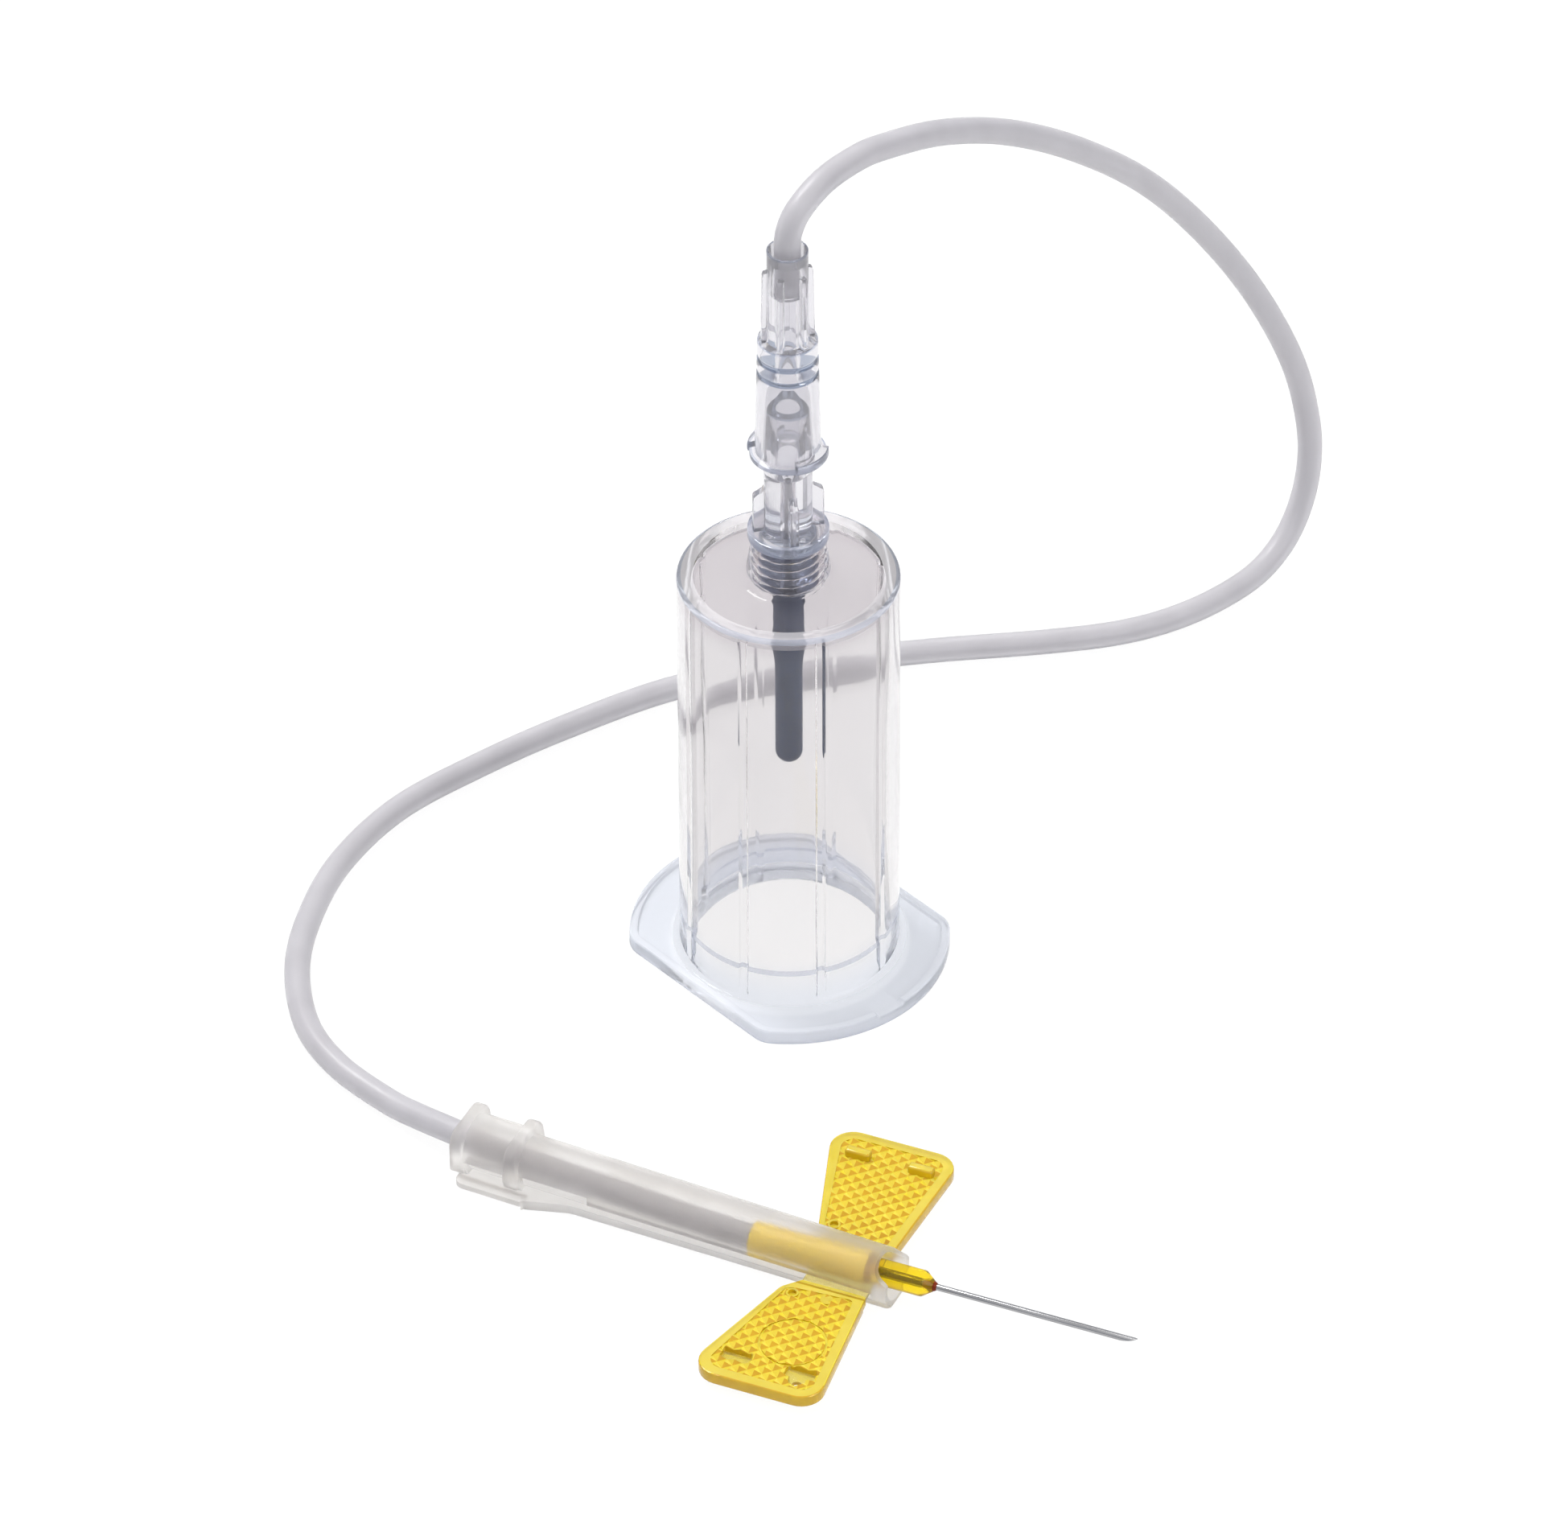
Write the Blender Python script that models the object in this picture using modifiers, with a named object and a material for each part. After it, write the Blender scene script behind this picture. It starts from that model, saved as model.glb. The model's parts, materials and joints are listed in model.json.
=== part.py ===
"""Blood tube holder with its luer adapter, tubing and winged needle.

The clear holder stands on its flange. A luer adapter is screwed into its neck and carries the
needle that pierces the tube's stopper, under a rubber sleeve. A female luer connector on top joins
the adapter to one loop of soft tubing, which ends in a winged needle with a sliding safety sheath.
Metres, +Z up, and the table is z = 0.
"""
import math

import bmesh
import bpy
from mathutils import Matrix, Vector

# Clearances and cut overruns
SEAT_GAP = 0.0003          # between pieces that rest on or screw into each other
BOND_GAP = 0.0001          # round a piece that is bonded or pushed tight into another
SHEATH_PLAY = 0.0003       # between the sliding sheath and what it slides past
OVERRUN = 0.0005           # how far a cutter runs past what it cuts
WELD_DISTANCE = 0.000001   # points closer than this are one point

# Tube holder: barrel, closed by a disc with a threaded neck, on a wide flange
BARREL_HEIGHT = 0.0460
BASE_RADIUS = 0.0109
BARREL_TAPER = 0.0001      # from the base's outer radius to the rim's
RIM_FILLET = 0.00045
DISC_THICKNESS = 0.00125
RIM_WALL = 0.0013
LOW_WALL = 0.0013
LEAD_IN_WALL = 0.0011
LEAD_IN_HEIGHT = 0.0039
LEAD_IN_SLOPE = 0.0003
RIB_COUNT = 8
RIB_WIDTH = 0.0007
RIB_HEIGHT = 0.00035
RIB_START = 0.0004
RIB_TURN = math.radians(-72)
NECK_HEIGHT = 0.0044
NECK_TOP_RADIUS = 0.00358
NECK_BASE_RADIUS = 0.00405
NECK_BORE_RADIUS = 0.0029
NECK_FILLET = 0.0011
NECK_EDGE = 0.0002

# Flange: a round plate cut by two parallel straight sides, with a raised lip and one notch
FLANGE_RADIUS = 0.0159
FLANGE_HALF_WIDTH = 0.0126
FLANGE_CORNER = 0.0026
FLANGE_TURN = math.radians(-48)
PLATE_THICKNESS = 0.00125
LIP_WIDTH = 0.00095
LIP_HEIGHT = 0.0004
NOTCH_WIDTH = 0.0032
NOTCH_TURN = math.radians(-3)
FLANGE_FILLET = 0.0007

# Luer adapter: thread, collar, four fins, stem and tapered male luer
COLLAR_RADIUS = 0.00395
COLLAR_THICKNESS = 0.00115
COLLAR_EDGE = 0.00015
ADAPTER_FIN_RADIUS = 0.00345
ADAPTER_FIN_HEIGHT = 0.0047
ADAPTER_FIN_DROP = 0.0006
ADAPTER_FIN_WIDTH = 0.00085
ADAPTER_FIN_TURN = math.radians(10.6)
ADAPTER_FIN_COUNT = 4
STEM_RADIUS = 0.00235
STEM_HEIGHT = 0.0082
LUER_LENGTH = 0.0068
LUER_TIP_RADIUS = 0.00199
LUER_SLOPE = 0.03
LUER_LUMEN_RADIUS = 0.00115
LUER_LUMEN_DEPTH = 0.0088
NIPPLE_LENGTH = 0.0016
NIPPLE_RADIUS = 0.00078

# Tube-side needle and its rubber sleeve
REAR_NEEDLE_RADIUS = 0.00041
REAR_NEEDLE_BORE = 0.00026
REAR_NEEDLE_LENGTH = 0.0315
REAR_NEEDLE_BACK = 0.0006
REAR_BEVEL_LENGTH = 0.0022
SLEEVE_RADIUS = 0.00133
SLEEVE_BORE = 0.00088
SLEEVE_TIP_ROOM = 0.0011  # along the axis, between the needle's point and the bore's floor
SLEEVE_TIP_WALL = 0.0014

# Female luer connector: lugged mouth, grooved body, finned tail and tubing cup
CONNECTOR_HEIGHT = 0.0237
MOUTH_DROP = 0.0063
MOUTH_RING_RADIUS = 0.0037
MOUTH_RING_THICKNESS = 0.0005
LUG_RADIUS = 0.0039
LUG_THICKNESS = 0.0011
LUG_RAISE = 0.0001
LUG_START = math.radians(-78)
LUG_SPAN = math.radians(74)
BODY_LOW_RADIUS = 0.0032
BODY_TOP_RADIUS = 0.0029
BODY_HEIGHT = 0.0135
SOCKET_DEPTH = 0.0080
GROOVE_HEIGHTS = (0.00995, 0.01165)
GROOVE_WIDTH = 0.00065
GROOVE_DEPTH = 0.00014
CONNECTOR_LUMEN = 0.0008
CUP_RADIUS = 0.00198
CUP_MOUTH_RADIUS = 0.0018
CUP_FUNNEL = 0.0014
CUP_DEPTH = 0.0050
CONNECTOR_FIN_COUNT = 6
CONNECTOR_FIN_LOW_RADIUS = 0.0026
CONNECTOR_FIN_TOP_RADIUS = 0.00244
CONNECTOR_FIN_WIDTH = 0.0006
CONNECTOR_FIN_HEIGHT = 0.0080
CONNECTOR_FIN_ROUND = 0.0004
CONNECTOR_FIN_TURN = math.radians(13)

# Tubing: one soft tube from the connector's cup to the winged needle's hub
TUBING_RADIUS = 0.00128
TUBING_STEP = 0.0052
TUBING_ROUTE = (
    (0.0, 0.0, 0.0796), (0.0, 0.0, 0.0820), (0.0, 0.0, 0.0844), (0.0001, 0.0001, 0.0860),
    (0.0010, 0.0012, 0.0878), (0.0033, 0.0039, 0.0892), (0.0062, 0.0073, 0.0893),
    (0.0089, 0.0105, 0.0885), (0.0146, 0.0172, 0.0855), (0.0210, 0.0247, 0.0803),
    (0.0279, 0.0328, 0.0727), (0.0351, 0.0412, 0.0629), (0.0414, 0.0487, 0.0517),
    (0.0472, 0.0555, 0.0392), (0.0517, 0.0607, 0.0268), (0.0538, 0.0632, 0.0172),
    (0.0541, 0.0633, 0.0108), (0.0530, 0.0620, 0.0058), (0.0508, 0.0594, 0.0028),
    (0.0474, 0.0559, 0.0015), (0.0416, 0.0512, 0.00134), (0.0349, 0.0480, 0.00134),
    (0.0265, 0.0463, 0.00134), (0.0141, 0.0448, 0.00134), (0.0015, 0.0425, 0.00134),
    (-0.0111, 0.0391, 0.00134), (-0.0226, 0.0326, 0.00134), (-0.0316, 0.0262, 0.00134),
    (-0.0393, 0.0195, 0.00134), (-0.0446, 0.0115, 0.00134), (-0.0474, 0.0035, 0.00134),
    (-0.0486, -0.0050, 0.00134), (-0.0474, -0.0138, 0.00134), (-0.0441, -0.0202, 0.00134),
    (-0.0391, -0.0255, 0.00134), (-0.0358, -0.0286, 0.0019), (-0.0322, -0.0317, 0.0026),
    (-0.02889, -0.03417, 0.00275), (-0.02178, -0.03789, 0.00275), (-0.01295, -0.04260, 0.00275),
    (-0.00579, -0.04621, 0.00275), (-0.00302, -0.04736, 0.00275), (0.00013, -0.04866, 0.00275),
)

# Winged needle: its own frame lies on the table, with +X towards the needle's tip
SET_PLACE = (0.00530, -0.05080, 0.0)
SET_TURN = math.radians(-22.5)
AXIS_HEIGHT = 0.00275
SHEATH_YAW = math.radians(-3.0)  # the sheath lies a little askew on the hub

# Hub, webs and needle
HUB_BACK = -0.0096
HUB_RADIUS = 0.0016
HUB_SOCKET_DEPTH = 0.0044
HUB_SHOULDER = 0.0022
HUB_SHOULDER_LENGTH = 0.0008
NOSE_RADIUS = 0.00129
NOSE_END = 0.0079
NOSE_TIP = 0.00885
NOSE_TIP_RADIUS = 0.00062
WEB_BACK = -0.00325
WEB_FRONT = 0.00325
WEB_THICKNESS = 0.00035
WEB_HEIGHT = 0.0019
WEB_ROOT_SHARE = 0.5       # of the hub's radius, where a web starts inside the hub
BEAD_RADIUS = 0.00058
BEAD_LENGTH = 0.00055
NEEDLE_RADIUS = 0.00032
NEEDLE_BORE = 0.00018
NEEDLE_TIP = 0.0294
NEEDLE_SINK = 0.0080
NEEDLE_BEVEL_LENGTH = 0.0021

# Wings
HINGE_OFFSET = 0.0040
HINGE_GAP_HUB = 0.0002
HINGE_GAP_WING = 0.0002
WING_THICKNESS = 0.00125
WING_LOW = 0.0009
WING_REACH = 0.0186
WING_ROOT_BACK = -0.0045
WING_ROOT_FRONT = 0.00325
WING_OUTER_BACK = -0.00905
WING_OUTER_FRONT = 0.0045
WING_OUTER_CORNER = 0.0023
WING_ROOT_BACK_CORNER = 0.0016
WING_ROOT_FRONT_CORNER = 0.0004
WING_BORDER = 0.0011
PANEL_DEPTH = 0.00012
WING_CHAMFER = 0.0002
PEG_LENGTH = 0.0026
PEG_WIDTH = 0.0010
PEG_HEIGHT = 0.00075
PEG_OFFSET = 0.0153
PEG_PLACES = (-0.0050, 0.0015)
PIT_PLAY = 0.0002
PIT_DEPTH = 0.0009
WING_HOLE_RADIUS = 0.00035
WING_HOLE_OUT = 0.0009     # from the pits' middle line towards the wing's end

# Safety sheath: a slotted tube on a rail, with two grip ridges at its back
SHEATH_BACK = -0.0404
SHEATH_FRONT = 0.00525
SHEATH_RADIUS = 0.0027     # at the front
SHEATH_BACK_RADIUS = 0.0029
SHEATH_BORE = 0.0022
SHEATH_FLAT = 0.0004
RAIL_THICKNESS = 0.00115
RAIL_FRONT_HALF = 0.0016
RAIL_FRONT_CORNER = 0.0006
RAIL_MID_HALF = 0.0022
TAIL_BACK = -0.0400
TAIL_HALF = 0.0039
TAIL_STEP = -0.0328
TAIL_TAPER_END = -0.0282
TAIL_LIFT = 0.00055
TAIL_CORNER = 0.0010
RIDGE_HALF = 0.00325
RIDGE_TOP = 0.00615
RIDGE_LOW = 0.0017
RIDGE_LENGTH = 0.0016
RIDGE_BACKS = (-0.04065, -0.0349)
RIDGE_SHOULDER = 0.0015
RIDGE_EDGE = 0.0003
RIDGE_DRAFT = 0.00045      # how much thinner a ridge is at its top
SADDLE_RADIUS = 0.0033     # of the thicker wall between the ridges
SADDLE_DROP = math.radians(8)
SLOT_NARROW_TOP = 0.00235
SLOT_WIDE_TOP = 0.0033
SLOT_STEP = -0.0261
SCOOP_EDGE = (
    (0.0036, 0.0056), (0.0037, 0.0049), (0.0040, 0.0043), (0.0045, 0.0039), (0.0050, 0.0036),
    (0.0053, 0.0033),
)

# Facets
ROUND = 72
SMALL_ROUND = 32
TINY_ROUND = 16
ARC_STEPS = 6

LOOKS = {
    "clear_holder": ((0.86, 0.86, 0.88, 0.35), 0.22, 0.0),
    "clear_luer": ((0.80, 0.81, 0.85, 0.40), 0.12, 0.0),
    "grey_rubber": ((0.11, 0.13, 0.17, 1.0), 0.55, 0.0),
    "steel": ((0.55, 0.55, 0.56, 1.0), 0.22, 1.0),
    "soft_tubing": ((0.80, 0.80, 0.82, 0.60), 0.25, 0.0),
    "yellow_plastic": ((0.93, 0.72, 0.07, 0.85), 0.18, 0.0),
    "frosted_plastic": ((0.78, 0.77, 0.77, 0.75), 0.45, 0.0),
    "red_epoxy": ((0.22, 0.03, 0.01, 1.0), 0.25, 0.0),
}


def clear_scene():
    for item in list(bpy.data.objects):
        bpy.data.objects.remove(item, do_unlink=True)


def make_collection(name):
    collection = bpy.data.collections.new(name)
    bpy.context.scene.collection.children.link(collection)
    return collection


clear_scene()
PARTS = make_collection("blood_tube_holder")
CUTTERS = make_collection("cutters")


def make_material(name):
    colour, roughness, metallic = LOOKS[name]
    material = bpy.data.materials.new(name)
    material.use_nodes = True
    shader = material.node_tree.nodes["Principled BSDF"]
    shader.inputs["Base Color"].default_value = colour
    shader.inputs["Alpha"].default_value = colour[3]
    shader.inputs["Roughness"].default_value = roughness
    shader.inputs["Metallic"].default_value = metallic
    material.diffuse_color = colour
    return material


MATERIALS = {name: make_material(name) for name in LOOKS}


def make_empty(name, place=(0.0, 0.0, 0.0), turn=0.0, parent=None):
    empty = bpy.data.objects.new(name, None)
    empty.location = place
    empty.rotation_euler = (0.0, 0.0, turn)
    empty.parent = parent
    PARTS.objects.link(empty)
    return empty


def place_part(obj, look, parent):
    """Make a finished piece: its material, its collection and its parent."""
    obj.data.materials.clear()
    obj.data.materials.append(MATERIALS[look])
    for collection in list(obj.users_collection):
        collection.objects.unlink(obj)
    PARTS.objects.link(obj)
    obj.parent = parent
    return obj


def as_cutter(obj, parent):
    for collection in list(obj.users_collection):
        collection.objects.unlink(obj)
    CUTTERS.objects.link(obj)
    obj.parent = parent
    obj.hide_render = True
    obj.display_type = "WIRE"
    return obj


def combine(target, tool, operation):
    boolean = target.modifiers.new(f"{operation.lower()}_{tool.name}", "BOOLEAN")
    boolean.operation = operation
    boolean.solver = "EXACT"
    boolean.object = tool


def arc(centre_x, centre_y, radius, start, end, steps=ARC_STEPS):
    """Points of an arc; start and end are in degrees."""
    turns = [math.radians(start + (end - start) * i / steps) for i in range(steps + 1)]
    return [(centre_x + radius * math.cos(t), centre_y + radius * math.sin(t)) for t in turns]


def turned(name, profile, steps, closed=True):
    """Turn a profile of (radius, height) round Z: down its outer side, then back up inside."""
    mesh = bpy.data.meshes.new(name)
    verts = [(radius, 0.0, height) for radius, height in profile]
    edges = [(i, i + 1) for i in range(len(verts) - 1)]
    if closed:
        edges.append((len(verts) - 1, 0))
    mesh.from_pydata(verts, edges, [])
    obj = bpy.data.objects.new(name, mesh)
    screw = obj.modifiers.new("turn", "SCREW")
    screw.axis = "Z"
    screw.steps = steps
    screw.render_steps = steps
    screw.use_merge_vertices = True
    screw.merge_threshold = WELD_DISTANCE
    screw.use_smooth_shade = True
    return obj


def flat_outline(name, loops, low, high, matrix=None):
    """Extrude closed outlines from low to high along Z, then weld them into one mesh."""
    curve = bpy.data.curves.new(name, "CURVE")
    curve.dimensions = "2D"
    curve.fill_mode = "BOTH"
    curve.extrude = (high - low) / 2
    for loop in loops:
        spline = curve.splines.new("POLY")
        spline.points.add(len(loop) - 1)
        for point, (x, y) in zip(spline.points, loop):
            point.co = (x, y, 0.0, 1.0)
        spline.use_cyclic_u = True
    holder = bpy.data.objects.new(name + "_curve", curve)
    bpy.context.scene.collection.objects.link(holder)
    bpy.context.view_layer.update()
    graph = bpy.context.evaluated_depsgraph_get()
    mesh = bpy.data.meshes.new_from_object(holder.evaluated_get(graph))
    mesh.transform(Matrix.Translation((0.0, 0.0, (high + low) / 2)))
    if matrix is not None:
        mesh.transform(matrix)
    weld(mesh)
    bpy.data.objects.remove(holder, do_unlink=True)
    return bpy.data.objects.new(name, mesh)


def weld(mesh):
    work = bmesh.new()
    work.from_mesh(mesh)
    bmesh.ops.remove_doubles(work, verts=work.verts, dist=WELD_DISTANCE)
    bmesh.ops.recalc_face_normals(work, faces=work.faces)
    work.to_mesh(mesh)
    work.free()


def box(name, low, high, matrix=None):
    """A box between two corners."""
    bpy.ops.mesh.primitive_cube_add(size=1.0)
    obj = bpy.context.object
    obj.name = name
    sides = [b - a for a, b in zip(low, high)]
    middle = [(a + b) / 2 for a, b in zip(low, high)]
    obj.data.transform(Matrix.Diagonal((*sides, 1.0)))
    obj.data.transform(Matrix.Translation(middle))
    if matrix is not None:
        obj.data.transform(matrix)
    return obj


def merge_meshes(name, pieces):
    """Join separate solids that do not touch into one tool object."""
    work = bmesh.new()
    for piece in pieces:
        work.from_mesh(piece.data)
        bpy.data.objects.remove(piece, do_unlink=True)
    mesh = bpy.data.meshes.new(name)
    work.to_mesh(mesh)
    work.free()
    return bpy.data.objects.new(name, mesh)


def rounded_outline(corners, steps=ARC_STEPS):
    """Points of a polygon whose corners (x, y, radius) are rounded, going anticlockwise."""
    points = []
    count = len(corners)
    for i, (x, y, radius) in enumerate(corners):
        here = Vector((x, y))
        back = (Vector(corners[i - 1][:2]) - here).normalized()
        ahead = (Vector(corners[(i + 1) % count][:2]) - here).normalized()
        if radius == 0:
            points.append((x, y))
            continue
        half = back.angle(ahead) / 2
        reach = radius / math.tan(half)
        centre = here + (back + ahead).normalized() * (radius / math.sin(half))
        first = here + back * reach - centre
        last = here + ahead * reach - centre
        sweep = first.angle_signed(last)
        for step in range(steps + 1):
            turn = Matrix.Rotation(-sweep * step / steps, 2)
            points.append(tuple(centre + turn @ first))
    return points


RIM_RADIUS = BASE_RADIUS - BARREL_TAPER
BORE_TOP_RADIUS = RIM_RADIUS - RIM_WALL
BORE_LOW_RADIUS = BASE_RADIUS - LOW_WALL
LEAD_IN_RADIUS = BASE_RADIUS - LEAD_IN_WALL

ASSEMBLY = make_empty("assembly")
WINGED_SET = make_empty("winged_set", SET_PLACE, SET_TURN, ASSEMBLY)

# Heights up the holder's axis, each from the one that carries it
NECK_TOP = BARREL_HEIGHT + NECK_HEIGHT
COLLAR_LOW = NECK_TOP + SEAT_GAP
COLLAR_TOP = COLLAR_LOW + COLLAR_THICKNESS
STEM_TOP = COLLAR_TOP + STEM_HEIGHT
LUER_TIP = STEM_TOP + LUER_LENGTH
THREAD_LOW = BARREL_HEIGHT - DISC_THICKNESS
SLEEVE_TOP = THREAD_LOW - SEAT_GAP
MOUTH = LUER_TIP - MOUTH_DROP
REAR_NEEDLE_TOP = LUER_TIP - LUER_LUMEN_DEPTH - REAR_NEEDLE_BACK
REAR_NEEDLE_LOW = REAR_NEEDLE_TOP - REAR_NEEDLE_LENGTH
SLEEVE_BORE_LOW = REAR_NEEDLE_LOW - SLEEVE_TIP_ROOM
SLEEVE_LOW = SLEEVE_BORE_LOW - SLEEVE_TIP_WALL


def luer_radius(height):
    """Radius of the male luer cone at a height."""
    return LUER_TIP_RADIUS + LUER_SLOPE * (LUER_TIP - height)


def flange_outline(inset):
    """The flange's outline, moved in by inset: two arcs and two flats with rounded corners."""
    radius = FLANGE_RADIUS - inset
    half_width = FLANGE_HALF_WIDTH - inset
    corner = FLANGE_CORNER - inset
    run = radius - corner
    rise = half_width - corner
    lean = math.degrees(math.asin(rise / run))
    centre_x = math.sqrt(run ** 2 - rise ** 2)
    outline = arc(0.0, 0.0, radius, -lean, lean, ROUND // 4)
    outline += arc(centre_x, rise, corner, lean, 90)[1:]
    outline += arc(-centre_x, rise, corner, 90, 180 - lean)
    outline += arc(0.0, 0.0, radius, 180 - lean, 180 + lean, ROUND // 4)[1:]
    outline += arc(-centre_x, -rise, corner, 180 + lean, 270)[1:]
    outline += arc(centre_x, -rise, corner, 270, 360 - lean)[:-1]
    return outline


def holder_profile():
    rim_arc = arc(RIM_RADIUS - RIM_FILLET, BARREL_HEIGHT - RIM_FILLET, RIM_FILLET, 90, 0, 4)
    neck_out = NECK_BASE_RADIUS + NECK_FILLET
    foot_out = BASE_RADIUS + FLANGE_FILLET
    neck_arc = arc(neck_out, BARREL_HEIGHT + NECK_FILLET, NECK_FILLET, 180, 270, 5)
    foot_arc = arc(foot_out, PLATE_THICKNESS + FLANGE_FILLET, FLANGE_FILLET, 180, 270, 4)
    outer = [(NECK_BORE_RADIUS, NECK_TOP), (NECK_TOP_RADIUS - NECK_EDGE, NECK_TOP)]
    outer += [(NECK_TOP_RADIUS, NECK_TOP - NECK_EDGE)]
    outer += neck_arc + rim_arc + foot_arc
    outer += [(foot_out, PLATE_THICKNESS / 2), (BASE_RADIUS, 0.0)]
    inner = [(LEAD_IN_RADIUS, 0.0), (LEAD_IN_RADIUS, LEAD_IN_HEIGHT)]
    inner += [(BORE_LOW_RADIUS, LEAD_IN_HEIGHT + LEAD_IN_SLOPE)]
    inner += [(BORE_TOP_RADIUS, BARREL_HEIGHT - DISC_THICKNESS)]
    inner += [(NECK_BORE_RADIUS, BARREL_HEIGHT - DISC_THICKNESS)]
    return outer + inner


def make_flange():
    """The flange as a tool: a lipped plate with room for the barrel in its middle."""
    turn = Matrix.Rotation(FLANGE_TURN, 4, "Z")
    wall_middle = (BASE_RADIUS + LEAD_IN_RADIUS) / 2
    hole = arc(0.0, 0.0, wall_middle, 0, 360, ROUND)[:-1]
    total = PLATE_THICKNESS + LIP_HEIGHT
    flange = flat_outline("flange", [flange_outline(0.0), hole], 0.0, total, turn)
    flange = as_cutter(flange, ASSEMBLY)
    recess_outline = flange_outline(LIP_WIDTH)
    recess = flat_outline("flange_recess", [recess_outline], PLATE_THICKNESS, total + OVERRUN, turn)
    combine(flange, as_cutter(recess, ASSEMBLY), "DIFFERENCE")
    notch_low = (FLANGE_RADIUS - LIP_WIDTH - OVERRUN, -NOTCH_WIDTH / 2, PLATE_THICKNESS)
    notch_high = (FLANGE_RADIUS + OVERRUN, NOTCH_WIDTH / 2, total + OVERRUN)
    notch_turn = Matrix.Rotation(FLANGE_TURN + NOTCH_TURN, 4, "Z")
    notch = box("flange_notch", notch_low, notch_high, notch_turn)
    combine(flange, as_cutter(notch, ASSEMBLY), "DIFFERENCE")
    return flange


def make_ribs():
    """Guide ribs down the inside of the barrel."""
    reach = (LEAD_IN_RADIUS + BASE_RADIUS) / 2
    low = (BORE_TOP_RADIUS - RIB_HEIGHT, -RIB_WIDTH / 2, RIB_START)
    high = (reach, RIB_WIDTH / 2, BARREL_HEIGHT - DISC_THICKNESS / 2)
    step = 2 * math.pi / RIB_COUNT
    ribs = []
    for i in range(RIB_COUNT):
        ribs.append(box(f"rib_{i}", low, high, Matrix.Rotation(RIB_TURN + i * step, 4, "Z")))
    return as_cutter(merge_meshes("ribs", ribs), ASSEMBLY)


def make_tube_holder():
    holder = turned("tube_holder", holder_profile(), ROUND)
    combine(holder, make_flange(), "UNION")
    combine(holder, make_ribs(), "UNION")
    return place_part(holder, "clear_holder", ASSEMBLY)


def adapter_profile():
    outer = [(LUER_LUMEN_RADIUS, LUER_TIP), (LUER_TIP_RADIUS, LUER_TIP)]
    outer += [(luer_radius(STEM_TOP), STEM_TOP), (STEM_RADIUS, STEM_TOP), (STEM_RADIUS, COLLAR_TOP)]
    outer += [(COLLAR_RADIUS - COLLAR_EDGE, COLLAR_TOP), (COLLAR_RADIUS, COLLAR_TOP - COLLAR_EDGE)]
    outer += [(COLLAR_RADIUS, COLLAR_LOW), (NECK_BORE_RADIUS - SEAT_GAP, COLLAR_LOW)]
    outer += [(NECK_BORE_RADIUS - SEAT_GAP, THREAD_LOW), (NIPPLE_RADIUS, THREAD_LOW)]
    outer += [(NIPPLE_RADIUS, THREAD_LOW - NIPPLE_LENGTH)]
    bore = REAR_NEEDLE_RADIUS + BOND_GAP
    lumen_floor = LUER_TIP - LUER_LUMEN_DEPTH
    inner = [(bore, THREAD_LOW - NIPPLE_LENGTH), (bore, lumen_floor), (LUER_LUMEN_RADIUS, lumen_floor)]
    return outer + inner


def fin_tool(name, count, turn, width, outline):
    """Fins round Z: an outline of (radius, height), as thick as width, repeated count times."""
    stand = Matrix.Rotation(math.pi / 2, 4, "X")
    fins = []
    for i in range(count):
        spin = Matrix.Rotation(turn + 2 * math.pi * i / count, 4, "Z")
        fins.append(flat_outline(f"{name}_{i}", [outline], -width / 2, width / 2, spin @ stand))
    return as_cutter(merge_meshes(name, fins), ASSEMBLY)


def make_luer_adapter():
    adapter = turned("luer_adapter", adapter_profile(), SMALL_ROUND)
    root = (luer_radius(STEM_TOP) + LUER_LUMEN_RADIUS) / 2
    low = COLLAR_TOP - COLLAR_THICKNESS / 2
    top = COLLAR_TOP + ADAPTER_FIN_HEIGHT
    outline = [(root, low), (ADAPTER_FIN_RADIUS, low)]
    outline += [(ADAPTER_FIN_RADIUS, top - ADAPTER_FIN_DROP), (root, top)]
    fins = fin_tool("adapter_fins", ADAPTER_FIN_COUNT, ADAPTER_FIN_TURN, ADAPTER_FIN_WIDTH, outline)
    combine(adapter, fins, "UNION")
    return place_part(adapter, "clear_luer", ASSEMBLY)


def make_rear_needle():
    top = REAR_NEEDLE_TOP
    low = REAR_NEEDLE_LOW
    profile = [(REAR_NEEDLE_BORE, top), (REAR_NEEDLE_RADIUS, top)]
    profile += [(REAR_NEEDLE_RADIUS, low), (REAR_NEEDLE_BORE, low)]
    needle = turned("rear_needle", profile, TINY_ROUND)
    steep = math.atan2(REAR_BEVEL_LENGTH, 2 * REAR_NEEDLE_RADIUS)
    place = Matrix.Translation((REAR_NEEDLE_RADIUS, 0.0, low)) @ Matrix.Rotation(steep, 4, "Y")
    reach = 2 * REAR_BEVEL_LENGTH
    bevel = box("rear_bevel", (-reach, -reach, -reach), (reach, reach, 0.0), place)
    combine(needle, as_cutter(bevel, ASSEMBLY), "DIFFERENCE")
    return place_part(needle, "steel", ASSEMBLY)


def make_rubber_sleeve():
    """The sleeve, closed at its round lower end, open at the top."""
    low = SLEEVE_LOW
    bore_low = SLEEVE_BORE_LOW
    inside = [(0.0, bore_low), (SLEEVE_BORE, bore_low + SLEEVE_BORE), (SLEEVE_BORE, SLEEVE_TOP)]
    outside = [(SLEEVE_RADIUS, SLEEVE_TOP)]
    outside += arc(0.0, low + SLEEVE_RADIUS, SLEEVE_RADIUS, 0, -90, 5)[:-1] + [(0.0, low)]
    sleeve = turned("rubber_sleeve", inside + outside, SMALL_ROUND, closed=False)
    return place_part(sleeve, "grey_rubber", ASSEMBLY)


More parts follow.
